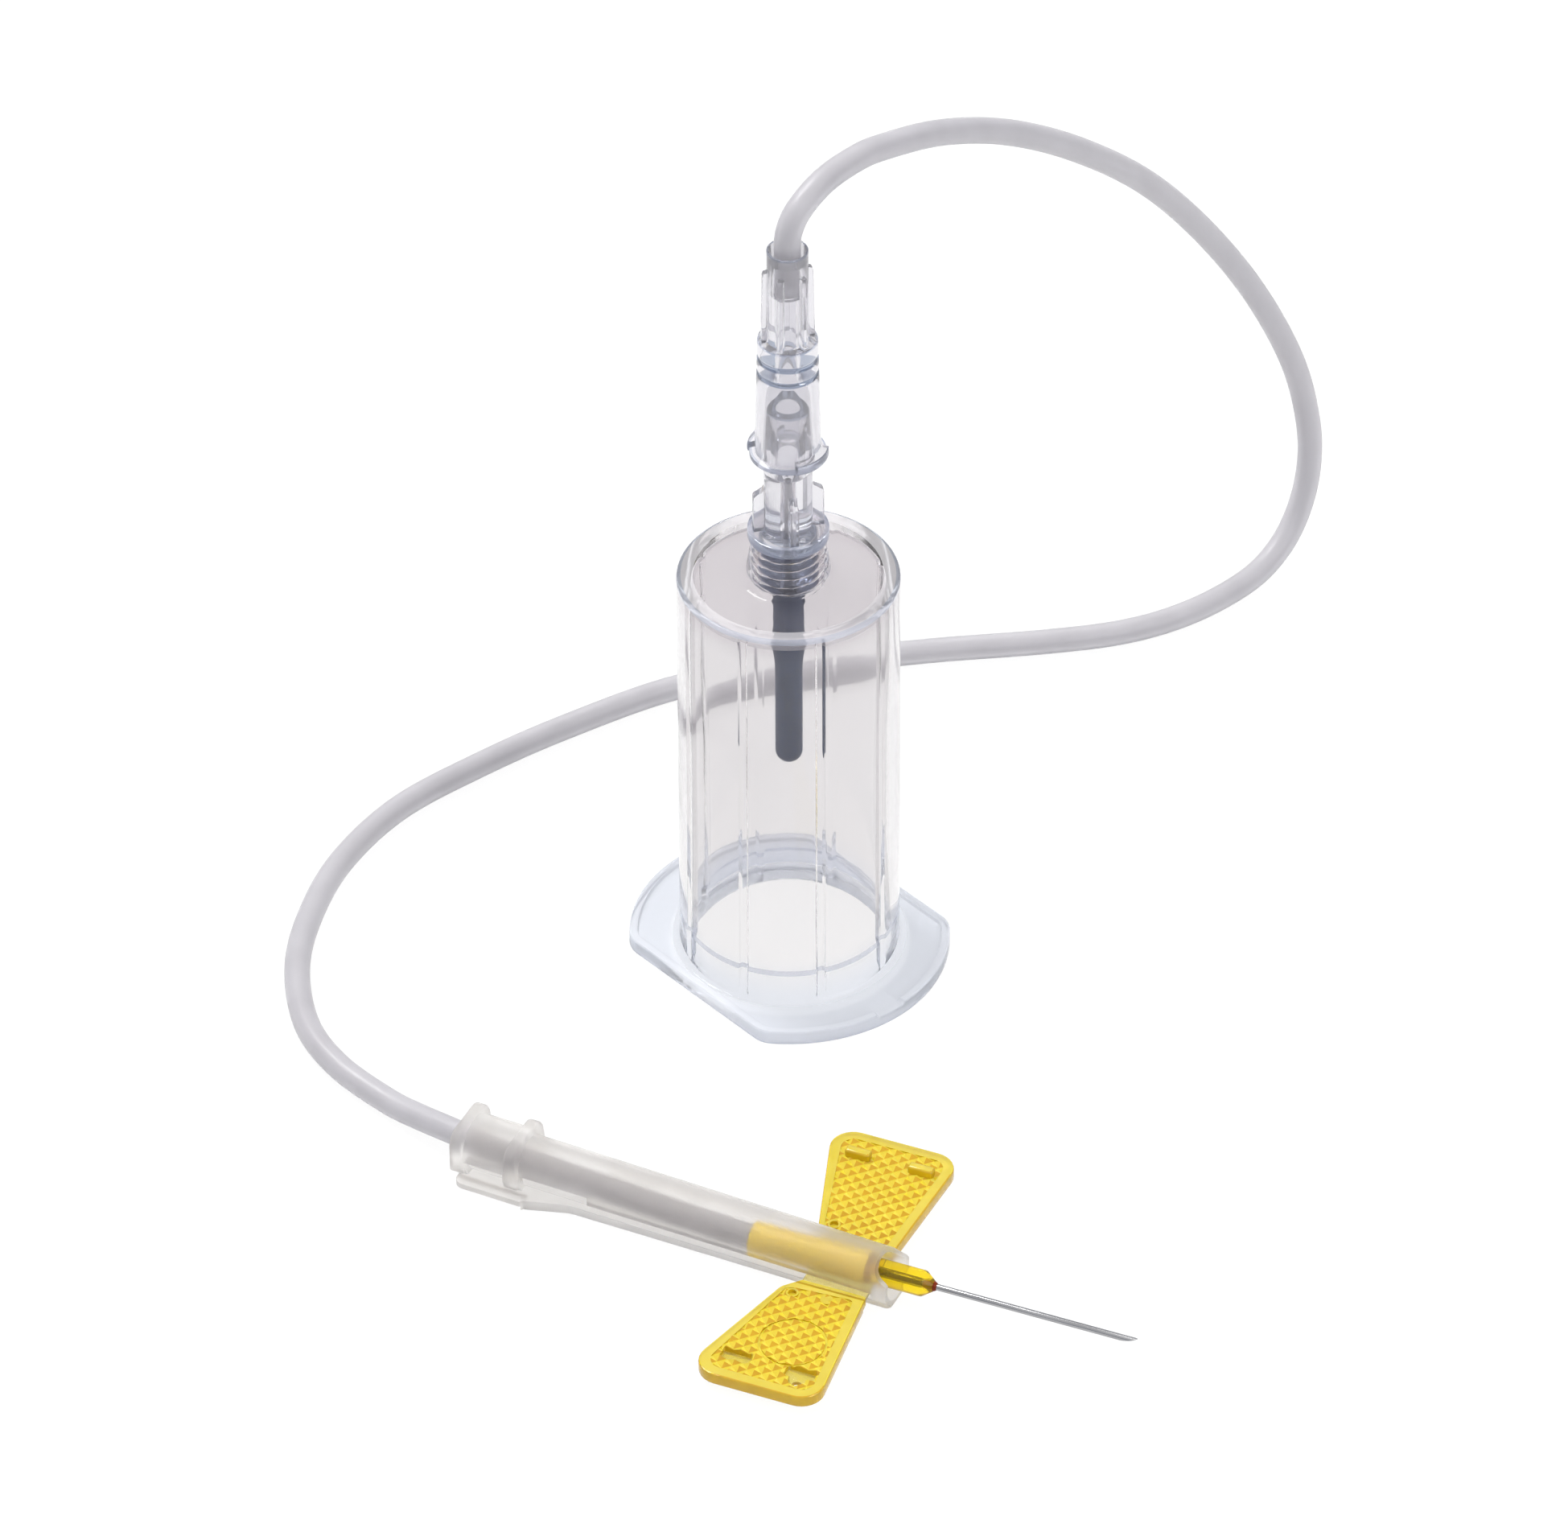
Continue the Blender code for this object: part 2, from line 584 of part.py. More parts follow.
def connector_profile():
    top = MOUTH + CONNECTOR_HEIGHT
    shoulder = MOUTH + BODY_HEIGHT
    cup_floor = top - CUP_DEPTH
    pocket = TUBING_RADIUS + BOND_GAP

    def body_radius(height):
        share = (height - MOUTH) / BODY_HEIGHT
        return BODY_LOW_RADIUS + (BODY_TOP_RADIUS - BODY_LOW_RADIUS) * share

    outer = [(CUP_MOUTH_RADIUS, top), (CUP_RADIUS, top)]
    outer += [(CUP_RADIUS, shoulder), (BODY_TOP_RADIUS, shoulder)]
    for height in sorted(GROOVE_HEIGHTS, reverse=True):
        high = MOUTH + height + GROOVE_WIDTH / 2
        low = MOUTH + height - GROOVE_WIDTH / 2
        outer.append((body_radius(high), high))
        outer.append((body_radius(high) - GROOVE_DEPTH, high - GROOVE_DEPTH))
        outer.append((body_radius(low) - GROOVE_DEPTH, low + GROOVE_DEPTH))
        outer.append((body_radius(low), low))
    ring_top = MOUTH + MOUTH_RING_THICKNESS
    outer += [(body_radius(ring_top), ring_top), (MOUTH_RING_RADIUS, ring_top)]
    outer += [(MOUTH_RING_RADIUS, MOUTH)]
    floor = MOUTH + SOCKET_DEPTH
    inner = [(luer_radius(MOUTH) + BOND_GAP, MOUTH), (luer_radius(floor) + BOND_GAP, floor)]
    inner += [(CONNECTOR_LUMEN, floor), (CONNECTOR_LUMEN, cup_floor), (pocket, cup_floor)]
    inner += [(pocket, top - CUP_FUNNEL)]
    return outer + inner


def make_lugs():
    """The two locking lugs round the connector's mouth."""
    root = (BODY_LOW_RADIUS + luer_radius(MOUTH)) / 2
    lugs = []
    for i in range(2):
        start = math.degrees(LUG_START) + 180 * i
        end = start + math.degrees(LUG_SPAN)
        outline = arc(0.0, 0.0, LUG_RADIUS, start, end, 10) + arc(0.0, 0.0, root, end, start, 10)
        lugs.append(flat_outline(f"lug_{i}", [outline], MOUTH + LUG_RAISE, MOUTH + LUG_THICKNESS))
    return as_cutter(merge_meshes("lugs", lugs), ASSEMBLY)


def make_luer_connector():
    connector = turned("luer_connector", connector_profile(), SMALL_ROUND)
    combine(connector, make_lugs(), "UNION")
    root = (CUP_RADIUS + TUBING_RADIUS + BOND_GAP) / 2
    low = MOUTH + BODY_HEIGHT - OVERRUN
    high = MOUTH + BODY_HEIGHT + CONNECTOR_FIN_HEIGHT
    corners = [(root, low, 0), (CONNECTOR_FIN_LOW_RADIUS, low, 0)]
    corners += [(CONNECTOR_FIN_TOP_RADIUS, high, CONNECTOR_FIN_ROUND), (root, high, 0)]
    outline = rounded_outline(corners, 3)
    turn = CONNECTOR_FIN_TURN
    fins = fin_tool("connector_fins", CONNECTOR_FIN_COUNT, turn, CONNECTOR_FIN_WIDTH, outline)
    combine(connector, fins, "UNION")
    return place_part(connector, "clear_luer", ASSEMBLY)


def smooth_route(points, step):
    """Points at even steps along a smooth curve through the route's points."""
    nodes = [Vector(p) for p in points]
    padded = [nodes[0] * 2 - nodes[1]] + nodes + [nodes[-1] * 2 - nodes[-2]]
    dense = []
    for i in range(1, len(padded) - 2):
        a, b, c, d = padded[i - 1:i + 3]
        for k in range(12):
            t = k / 12
            dense.append(0.5 * (2 * b + (c - a) * t + (2 * a - 5 * b + 4 * c - d) * t ** 2
                                + (3 * b - a - 3 * c + d) * t ** 3))
    dense.append(nodes[-1])
    lengths = [0.0]
    for first, second in zip(dense, dense[1:]):
        lengths.append(lengths[-1] + (second - first).length)
    count = round(lengths[-1] / step)
    result = []
    at = 0
    for i in range(count + 1):
        target = lengths[-1] * i / count
        while at < len(dense) - 2 and lengths[at + 1] < target:
            at += 1
        span = lengths[at + 1] - lengths[at]
        result.append(dense[at].lerp(dense[at + 1], (target - lengths[at]) / span))
    return result


def make_tubing():
    curve = bpy.data.curves.new("tubing", "CURVE")
    curve.dimensions = "3D"
    curve.bevel_depth = TUBING_RADIUS
    curve.bevel_resolution = 2
    curve.use_fill_caps = True
    points = smooth_route(TUBING_ROUTE, TUBING_STEP)
    spline = curve.splines.new("POLY")
    spline.points.add(len(points) - 1)
    for point, place in zip(spline.points, points):
        point.co = (*place, 1.0)
    tubing = bpy.data.objects.new("tubing", curve)
    return place_part(tubing, "soft_tubing", ASSEMBLY)


# The winged set's axes: turned pieces are laid along +X, outlines across it are stood up
LAY_DOWN = Matrix.Rotation(math.pi / 2, 4, "Y")
ACROSS = Matrix(((0, 0, 1, 0), (1, 0, 0, 0), (0, 1, 0, 0), (0, 0, 0, 1)))
AXIS = Matrix.Translation((0.0, 0.0, AXIS_HEIGHT))
ON_HUB = AXIS @ LAY_DOWN


def hub_profile():
    """The hub from its nose back to its socket, and the bore from there forward."""
    bore = NEEDLE_RADIUS + BOND_GAP
    socket = TUBING_RADIUS + BOND_GAP
    shoulder_end = HUB_SHOULDER + HUB_SHOULDER_LENGTH
    bore_back = NOSE_TIP - NEEDLE_SINK - OVERRUN
    outer = [(bore, NOSE_TIP), (NOSE_TIP_RADIUS, NOSE_TIP), (NOSE_RADIUS, NOSE_END)]
    outer += [(NOSE_RADIUS, shoulder_end), (HUB_RADIUS, HUB_SHOULDER), (HUB_RADIUS, HUB_BACK)]
    inner = [(socket, HUB_BACK), (socket, HUB_BACK + HUB_SOCKET_DEPTH)]
    inner += [(NEEDLE_BORE, HUB_BACK + HUB_SOCKET_DEPTH), (NEEDLE_BORE, bore_back), (bore, bore_back)]
    return outer + inner


def make_wing_hub():
    hub = turned("wing_hub", hub_profile(), SMALL_ROUND)
    hub.matrix_basis = ON_HUB
    web_end = HINGE_OFFSET - HINGE_GAP_HUB
    web_root = WEB_ROOT_SHARE * HUB_RADIUS
    webs = []
    for side in (-1, 1):
        near, far = sorted((side * web_root, side * web_end))
        low = (WEB_BACK, near, WEB_HEIGHT - WEB_THICKNESS / 2)
        high = (WEB_FRONT, far, WEB_HEIGHT + WEB_THICKNESS / 2)
        webs.append(box(f"web_{side}", low, high))
    combine(hub, as_cutter(merge_meshes("webs", webs), WINGED_SET), "UNION")
    return place_part(hub, "yellow_plastic", WINGED_SET)


def make_needle():
    profile = [(NEEDLE_BORE, NEEDLE_TIP), (NEEDLE_RADIUS, NEEDLE_TIP)]
    back = NOSE_TIP - NEEDLE_SINK
    profile += [(NEEDLE_RADIUS, back), (NEEDLE_BORE, back)]
    needle = turned("needle", profile, TINY_ROUND)
    needle.matrix_basis = ON_HUB
    reach = 2 * NEEDLE_BEVEL_LENGTH
    slant = Matrix.Rotation(math.atan2(2 * NEEDLE_RADIUS, NEEDLE_BEVEL_LENGTH), 4, "Y")
    tip = Matrix.Translation((NEEDLE_TIP, 0.0, -NEEDLE_RADIUS))
    matrix = AXIS @ tip @ slant
    bevel = box("needle_bevel", (-reach, -reach, 0.0), (reach, reach, reach), matrix)
    combine(needle, as_cutter(bevel, WINGED_SET), "DIFFERENCE")
    return place_part(needle, "steel", WINGED_SET)


def make_glue_bead():
    low = NOSE_TIP + BOND_GAP / 2
    inner = NEEDLE_RADIUS + BOND_GAP / 2
    profile = [(inner, low + BEAD_LENGTH), (BEAD_RADIUS, low), (inner, low)]
    bead = turned("glue_bead", profile, TINY_ROUND)
    bead.matrix_basis = ON_HUB
    return place_part(bead, "red_epoxy", WINGED_SET)


def wing_outline(side, inset=0.0):
    """A wing seen from above, as distances from its hinge; side is +1 far and -1 near."""
    root = HINGE_GAP_WING
    outer = WING_REACH - HINGE_OFFSET
    corners = [
        (WING_ROOT_BACK + inset, root + inset, WING_ROOT_BACK_CORNER),
        (WING_ROOT_FRONT - inset, root + inset, WING_ROOT_FRONT_CORNER),
        (WING_OUTER_FRONT - inset, outer - inset, WING_OUTER_CORNER - inset),
        (WING_OUTER_BACK + inset, outer - inset, WING_OUTER_CORNER - inset),
    ]
    points = rounded_outline(corners)
    return [(x, side * y) for x, y in points]


def make_wing(name, side, hinge):
    """One wing, in the frame of its hinge: the hinge line is its own X axis."""
    low = WING_LOW - WEB_HEIGHT
    top = low + WING_THICKNESS
    wing = flat_outline(name, [wing_outline(side)], low, top)
    root = HINGE_GAP_WING
    edge = top - WING_CHAMFER
    wedge = [(root - OVERRUN, edge), (root, edge), (root + WING_CHAMFER, top)]
    wedge += [(root + WING_CHAMFER, top + OVERRUN), (root - OVERRUN, top + OVERRUN)]
    wedge = [(side * y, z) for y, z in wedge]
    span = (WING_OUTER_BACK - OVERRUN, WING_OUTER_FRONT + OVERRUN)
    chamfer = flat_outline(name + "_chamfer", [wedge], span[0], span[1], ACROSS)
    combine(wing, as_cutter(chamfer, hinge), "DIFFERENCE")
    recess = wing_outline(side, WING_BORDER)
    panel = flat_outline(name + "_panel", [recess], top - PANEL_DEPTH, top + OVERRUN)
    combine(wing, as_cutter(panel, hinge), "DIFFERENCE")
    return wing, top


def peg_box(name, middle, side, grow, low, high):
    offset = PEG_OFFSET - HINGE_OFFSET
    half_width = PEG_WIDTH / 2 + grow
    near, far = sorted((side * (offset - half_width), side * (offset + half_width)))
    half = PEG_LENGTH / 2 + grow
    return box(name, (middle - half, near, low), (middle + half, far, high))


def make_far_wing(hinge):
    wing, top = make_wing("far_wing", 1, hinge)
    root = top - WING_THICKNESS / 2
    pegs = [peg_box(f"peg_{i}", x, 1, 0.0, root, top + PEG_HEIGHT) for i, x in enumerate(PEG_PLACES)]
    combine(wing, as_cutter(merge_meshes("pegs", pegs), hinge), "UNION")
    return place_part(wing, "yellow_plastic", hinge)


def make_near_wing(hinge):
    wing, top = make_wing("near_wing", -1, hinge)
    floor = top - PIT_DEPTH
    pits = [peg_box(f"pit_{i}", x, -1, PIT_PLAY, floor, top + OVERRUN) for i, x in enumerate(PEG_PLACES)]
    combine(wing, as_cutter(merge_meshes("pits", pits), hinge), "DIFFERENCE")
    offset = PEG_OFFSET - HINGE_OFFSET + WING_HOLE_OUT
    outline = arc(PEG_PLACES[1], -offset, WING_HOLE_RADIUS, 0, 360, TINY_ROUND)[:-1]
    hole = flat_outline("wing_hole", [outline], top - WING_THICKNESS - OVERRUN, top + OVERRUN)
    combine(wing, as_cutter(hole, hinge), "DIFFERENCE")
    return place_part(wing, "yellow_plastic", hinge)


def rail_outline():
    """The rail and tail under the sheath, seen from above."""
    right = [(TAIL_BACK, -TAIL_HALF, TAIL_CORNER), (TAIL_STEP, -TAIL_HALF, 0)]
    right += [(TAIL_TAPER_END, -RAIL_MID_HALF, 0), (SHEATH_FRONT, -RAIL_FRONT_HALF, RAIL_FRONT_CORNER)]
    left = [(x, -y, radius) for x, y, radius in reversed(right)]
    return rounded_outline(right + left)


def ridge_outline():
    """A grip ridge's section, as wide as a fingertip and rounded at its shoulders."""
    right = [(RIDGE_HALF, RIDGE_LOW, RIDGE_EDGE), (RIDGE_HALF, RIDGE_TOP, RIDGE_SHOULDER)]
    left = [(-x, z, radius) for x, z, radius in reversed(right)]
    return rounded_outline(right + left)


def scoop_outline():
    """What is cut from the sheath's front top, seen from the side."""
    front = SHEATH_FRONT + OVERRUN
    top = AXIS_HEIGHT + SHEATH_RADIUS + OVERRUN
    return [(front, top), (SCOOP_EDGE[0][0], top), *SCOOP_EDGE, (front, SCOOP_EDGE[-1][1])]


def widen_backwards(mesh):
    """Give the sheath's tube its draft: wider at the back than at the front."""
    growth = (SHEATH_BACK_RADIUS - SHEATH_RADIUS) / SHEATH_RADIUS
    for vert in mesh.vertices:
        scale = 1 + growth * (SHEATH_FRONT - vert.co.x) / (SHEATH_FRONT - SHEATH_BACK)
        vert.co.y *= scale
        vert.co.z = AXIS_HEIGHT + (vert.co.z - AXIS_HEIGHT) * scale


def lean_front(mesh, back):
    """Give a ridge its draft, on its front face."""
    for vert in mesh.vertices:
        if vert.co.x > back + RIDGE_LENGTH / 2:
            vert.co.x -= RIDGE_DRAFT * (vert.co.z - RIDGE_LOW) / (RIDGE_TOP - RIDGE_LOW)


def make_safety_sheath(slide):
    flat_angle = math.degrees(math.asin((AXIS_HEIGHT - SHEATH_FLAT) / SHEATH_RADIUS))
    body = arc(0.0, AXIS_HEIGHT, SHEATH_RADIUS, -flat_angle, 180 + flat_angle, SMALL_ROUND)
    sheath = flat_outline("safety_sheath", [body], SHEATH_BACK, SHEATH_FRONT, ACROSS)
    widen_backwards(sheath.data)
    rail = flat_outline("rail", [rail_outline()], 0.0, RAIL_THICKNESS)
    combine(sheath, as_cutter(rail, slide), "UNION")
    ridges = [flat_outline(f"ridge_{i}", [ridge_outline()], back, back + RIDGE_LENGTH, ACROSS)
              for i, back in enumerate(RIDGE_BACKS)]
    for ridge, back in zip(ridges, RIDGE_BACKS):
        lean_front(ridge.data, back)
    combine(sheath, as_cutter(merge_meshes("ridges", ridges), slide), "UNION")
    drop = math.degrees(SADDLE_DROP)
    saddle = [arc(0.0, AXIS_HEIGHT, SADDLE_RADIUS, -drop, 180 + drop, SMALL_ROUND // 2)]
    middles = [back + RIDGE_LENGTH / 2 for back in RIDGE_BACKS]
    saddle = flat_outline("saddle", saddle, middles[0], middles[1], ACROSS)
    combine(sheath, as_cutter(saddle, slide), "UNION")
    combine(sheath, make_tail_lift(slide), "DIFFERENCE")
    bore = turned("sheath_bore", sheath_bore_profile(), SMALL_ROUND, closed=False)
    bore.matrix_basis = AXIS @ LAY_DOWN
    combine(sheath, as_cutter(bore, slide), "DIFFERENCE")
    combine(sheath, make_slots(slide), "DIFFERENCE")
    upright = Matrix.Rotation(math.pi / 2, 4, "X")
    scoop = flat_outline("scoop", [scoop_outline()], -TAIL_HALF, TAIL_HALF, upright)
    combine(sheath, as_cutter(scoop, slide), "DIFFERENCE")
    return place_part(sheath, "frosted_plastic", slide)


def sheath_bore_profile():
    front = SHEATH_FRONT + OVERRUN
    back = SHEATH_BACK - OVERRUN
    return [(0.0, front), (SHEATH_BORE, front), (SHEATH_BORE, back), (0.0, back)]


def make_tail_lift(slide):
    """The tail's sides are thin and raised off the table, beside the rail."""
    sides = []
    for side in (-1, 1):
        near, far = sorted((side * RAIL_MID_HALF, side * (TAIL_HALF + OVERRUN)))
        low = (SHEATH_BACK - OVERRUN, near, -OVERRUN)
        sides.append(box(f"lift_{side}", low, (TAIL_STEP, far, TAIL_LIFT)))
    return as_cutter(merge_meshes("tail_lift", sides), slide)


def make_slots(slide):
    """The slots that the webs run in, right through both side walls."""
    front = WEB_FRONT + SHEATH_RADIUS * math.sin(abs(SHEATH_YAW)) + SHEATH_PLAY
    stop = RIDGE_BACKS[1] + RIDGE_LENGTH
    low = RAIL_THICKNESS
    reach = RIDGE_HALF + OVERRUN
    narrow = box("slot_narrow", (stop, -reach, low), (front, reach, SLOT_NARROW_TOP))
    wide = box("slot_wide", (stop, -reach, low), (SLOT_STEP, reach, SLOT_WIDE_TOP))
    combine(narrow, as_cutter(wide, slide), "UNION")
    back_low = (RIDGE_BACKS[0] + RIDGE_LENGTH, -reach, low)
    back = box("slot_back", back_low, (RIDGE_BACKS[1], reach, SLOT_WIDE_TOP))
    combine(narrow, as_cutter(back, slide), "UNION")
    return as_cutter(narrow, slide)


def stand_over_origin(nodes):
    """Move the whole set so that the origin is under the middle of everything but the tubing."""
    bpy.context.view_layer.update()
    graph = bpy.context.evaluated_depsgraph_get()
    corners = []
    for node in nodes:
        shape = node.evaluated_get(graph)
        corners += [shape.matrix_world @ v.co for v in shape.to_mesh().vertices]
        shape.to_mesh_clear()
    for axis in (0, 1):
        values = [corner[axis] for corner in corners]
        ASSEMBLY.location[axis] -= (min(values) + max(values)) / 2


def main():
    sheath_slide = make_empty("sheath_slide", turn=SHEATH_YAW, parent=WINGED_SET)
    near_hinge = make_empty("near_hinge", (0.0, -HINGE_OFFSET, WEB_HEIGHT), parent=WINGED_SET)
    far_hinge = make_empty("far_hinge", (0.0, HINGE_OFFSET, WEB_HEIGHT), parent=WINGED_SET)
    nodes = [
        make_tube_holder(), make_luer_adapter(), make_rear_needle(), make_rubber_sleeve(),
        make_luer_connector(), make_wing_hub(), make_needle(), make_glue_bead(),
        make_near_wing(near_hinge), make_far_wing(far_hinge), make_safety_sheath(sheath_slide),
    ]
    make_tubing()
    stand_over_origin(nodes)


main()
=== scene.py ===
import json
import math

import bmesh
import bpy
import numpy as np
from mathutils import Matrix, Vector


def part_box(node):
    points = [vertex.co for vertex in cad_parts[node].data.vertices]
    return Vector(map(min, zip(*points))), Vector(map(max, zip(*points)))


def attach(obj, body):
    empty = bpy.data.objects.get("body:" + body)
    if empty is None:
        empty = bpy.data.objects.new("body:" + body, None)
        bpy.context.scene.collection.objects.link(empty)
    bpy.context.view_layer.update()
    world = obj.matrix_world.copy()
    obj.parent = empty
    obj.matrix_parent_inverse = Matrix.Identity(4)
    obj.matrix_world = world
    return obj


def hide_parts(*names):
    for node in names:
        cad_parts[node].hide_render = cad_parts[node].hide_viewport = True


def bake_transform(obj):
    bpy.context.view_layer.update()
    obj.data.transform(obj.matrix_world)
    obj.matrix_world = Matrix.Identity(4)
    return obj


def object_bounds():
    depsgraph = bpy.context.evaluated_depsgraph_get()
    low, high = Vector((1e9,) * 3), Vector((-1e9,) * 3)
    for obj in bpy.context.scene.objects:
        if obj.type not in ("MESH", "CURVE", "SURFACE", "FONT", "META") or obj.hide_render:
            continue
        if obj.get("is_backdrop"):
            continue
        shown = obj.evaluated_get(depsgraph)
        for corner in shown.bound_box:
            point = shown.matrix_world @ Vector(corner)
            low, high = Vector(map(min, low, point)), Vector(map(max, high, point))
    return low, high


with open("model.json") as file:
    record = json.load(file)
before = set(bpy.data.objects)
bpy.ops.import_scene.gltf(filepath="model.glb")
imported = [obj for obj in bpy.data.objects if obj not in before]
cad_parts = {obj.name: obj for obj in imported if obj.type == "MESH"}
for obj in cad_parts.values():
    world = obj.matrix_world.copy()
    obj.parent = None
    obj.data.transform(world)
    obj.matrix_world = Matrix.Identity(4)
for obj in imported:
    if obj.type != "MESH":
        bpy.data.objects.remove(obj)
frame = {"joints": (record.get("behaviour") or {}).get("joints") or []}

CAD_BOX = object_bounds()
MM = 0.001
JOINTS = {joint["name"]: joint for joint in frame["joints"]}


def new_object(name, data):
    obj = bpy.data.objects.new(name, data)
    bpy.context.scene.collection.objects.link(obj)
    return obj


# Places: the holder's axis and the frames of the winged set and the sheath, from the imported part

def box_middle(node):
    low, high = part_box(node)
    return (low + high) / 2


def ground_frame(origin, direction):
    """A frame on the table whose X runs along direction."""
    x, y = direction[0], direction[1]
    return Matrix(((x, -y, 0, origin[0]), (y, x, 0, origin[1]), (0, 0, 1, 0), (0, 0, 0, 1)))


AXIS_X, AXIS_Y = box_middle("luer_adapter")[:2]
HOLDER = Matrix.Translation((AXIS_X, AXIS_Y, 0))
NEAR_HINGE = Vector(JOINTS["near_wing_fold"]["pos_m"])
FAR_HINGE = Vector(JOINTS["far_wing_fold"]["pos_m"])
SET = ground_frame((NEAR_HINGE + FAR_HINGE) / 2, JOINTS["far_wing_fold"]["axis"])
SHEATH = ground_frame(JOINTS["sheath_slide"]["pos_m"], JOINTS["sheath_slide"]["axis"])
AXIS_HEIGHT = 2.75  # of the hub, the needle and the sheath, over the table
LAY_DOWN = Matrix.Rotation(math.pi / 2, 4, "Y")
ALONG = Matrix.Translation((0, 0, AXIS_HEIGHT * MM)) @ LAY_DOWN
ACROSS = Matrix(((0, 0, 1, 0), (1, 0, 0, 0), (0, 1, 0, 0), (0, 0, 0, 1)))


# Camera: the photograph's view, from a fit to the barrel's and the flange's outlines

CAMERA_LEAN = math.radians(38.82)
CAMERA_ROLL = math.radians(-0.21)
CAMERA_DISTANCE = 900
AIM_LEFT, AIM_HEIGHT = 0.491, 22.286
PIXELS_PER_MM = 12.72
PHOTO_WIDTH = 1949
SENSOR = 36


def make_camera():
    forward = Vector((0, math.cos(CAMERA_LEAN), -math.sin(CAMERA_LEAN)))
    level = Vector((1, 0, 0))
    rise = level.cross(forward)
    right = level * math.cos(CAMERA_ROLL) + rise * math.sin(CAMERA_ROLL)
    up = rise * math.cos(CAMERA_ROLL) - level * math.sin(CAMERA_ROLL)
    target = Vector((AXIS_X - AIM_LEFT * MM, AXIS_Y, AIM_HEIGHT * MM))
    place = target - CAMERA_DISTANCE * MM * forward
    data = bpy.data.cameras.new("camera")
    data.sensor_width = SENSOR
    data.lens = PIXELS_PER_MM * CAMERA_DISTANCE / PHOTO_WIDTH * SENSOR
    data.clip_start = 0.05
    data.clip_end = 20
    camera = new_object("camera", data)
    turn = Matrix((right, up, -forward)).transposed()
    camera.matrix_world = Matrix.Translation(place) @ turn.to_4x4()
    bpy.context.scene.camera = camera


make_camera()


# Materials. Noise mostly lies from NOISE_LOW to NOISE_HIGH, so colours and gloss use that range

NOISE_LOW, NOISE_HIGH = 0.3, 0.7


def new_material(name):
    material = bpy.data.materials.new(name)
    material.use_nodes = True
    return material, material.node_tree, material.node_tree.nodes["Principled BSDF"]


def set_values(shader, **values):
    for name, value in values.items():
        shader.inputs[name.replace("_", " ")].default_value = value


def noise(tree, scale, detail=3.0, stretch=(1, 1, 1)):
    """Noise in the object's own coordinates, with about scale features a millimetre."""
    place = tree.nodes.new("ShaderNodeTexCoord")
    mapping = tree.nodes.new("ShaderNodeMapping")
    mapping.inputs["Scale"].default_value = [1000 * scale * s for s in stretch]
    tree.links.new(place.outputs["Object"], mapping.inputs["Vector"])
    texture = tree.nodes.new("ShaderNodeTexNoise")
    texture.inputs["Scale"].default_value = 1.0
    texture.inputs["Detail"].default_value = detail
    tree.links.new(mapping.outputs["Vector"], texture.inputs["Vector"])
    return texture.outputs["Fac"]


def ramp(tree, factor, stops):
    node = tree.nodes.new("ShaderNodeValToRGB")
    while len(node.color_ramp.elements) < len(stops):
        node.color_ramp.elements.new(0.5)
    for element, (place, colour) in zip(node.color_ramp.elements, stops):
        element.position = place
        element.color = (*colour, 1)
    tree.links.new(factor, node.inputs["Fac"])
    return node.outputs["Color"]


def colour_by(tree, shader, factor, low, high):
    colours = ramp(tree, factor, [(NOISE_LOW, low), (NOISE_HIGH, high)])
    tree.links.new(colours, shader.inputs["Base Color"])


def roughen_by(tree, shader, factor, low, high):
    node = tree.nodes.new("ShaderNodeMapRange")
    node.inputs["From Min"].default_value = NOISE_LOW
    node.inputs["From Max"].default_value = NOISE_HIGH
    node.inputs["To Min"].default_value = low
    node.inputs["To Max"].default_value = high
    tree.links.new(factor, node.inputs["Value"])
    tree.links.new(node.outputs["Result"], shader.inputs["Roughness"])


def bump_by(tree, shader, factor, height):
    """Bump of a height in millimetres."""
    node = tree.nodes.new("ShaderNodeBump")
    node.inputs["Strength"].default_value = 1.0
    node.inputs["Distance"].default_value = height * MM
    tree.links.new(factor, node.inputs["Height"])
    tree.links.new(node.outputs["Normal"], shader.inputs["Normal"])


def clear_plastic(name, low, high, rough, ior, haze, wave=0.02):
    """Moulded clear plastic: faint flow marks in its tint, its gloss and its surface."""
    material, tree, shader = new_material(name)
    set_values(shader, Transmission_Weight=1 - haze, IOR=ior)
    flow = noise(tree, 0.25, 2.0, (1, 1, 0.3))
    colour_by(tree, shader, flow, low, high)
    roughen_by(tree, shader, noise(tree, 1.3), *rough)
    bump_by(tree, shader, flow, wave)
    return material


# Lower than a real plastic's, which would trap light in the walls and leave dark arcs there
HOLDER_IOR = 1.2
TINT_SPAN = 0.05
TINT_STOPS = [
    (0.0, (0.85, 0.872, 0.922)), (0.03, (0.84, 0.862, 0.912)), (0.12, (0.905, 0.893, 0.896)),
    (0.86, (0.885, 0.87, 0.878)), (0.9, (0.77, 0.74, 0.76))
]


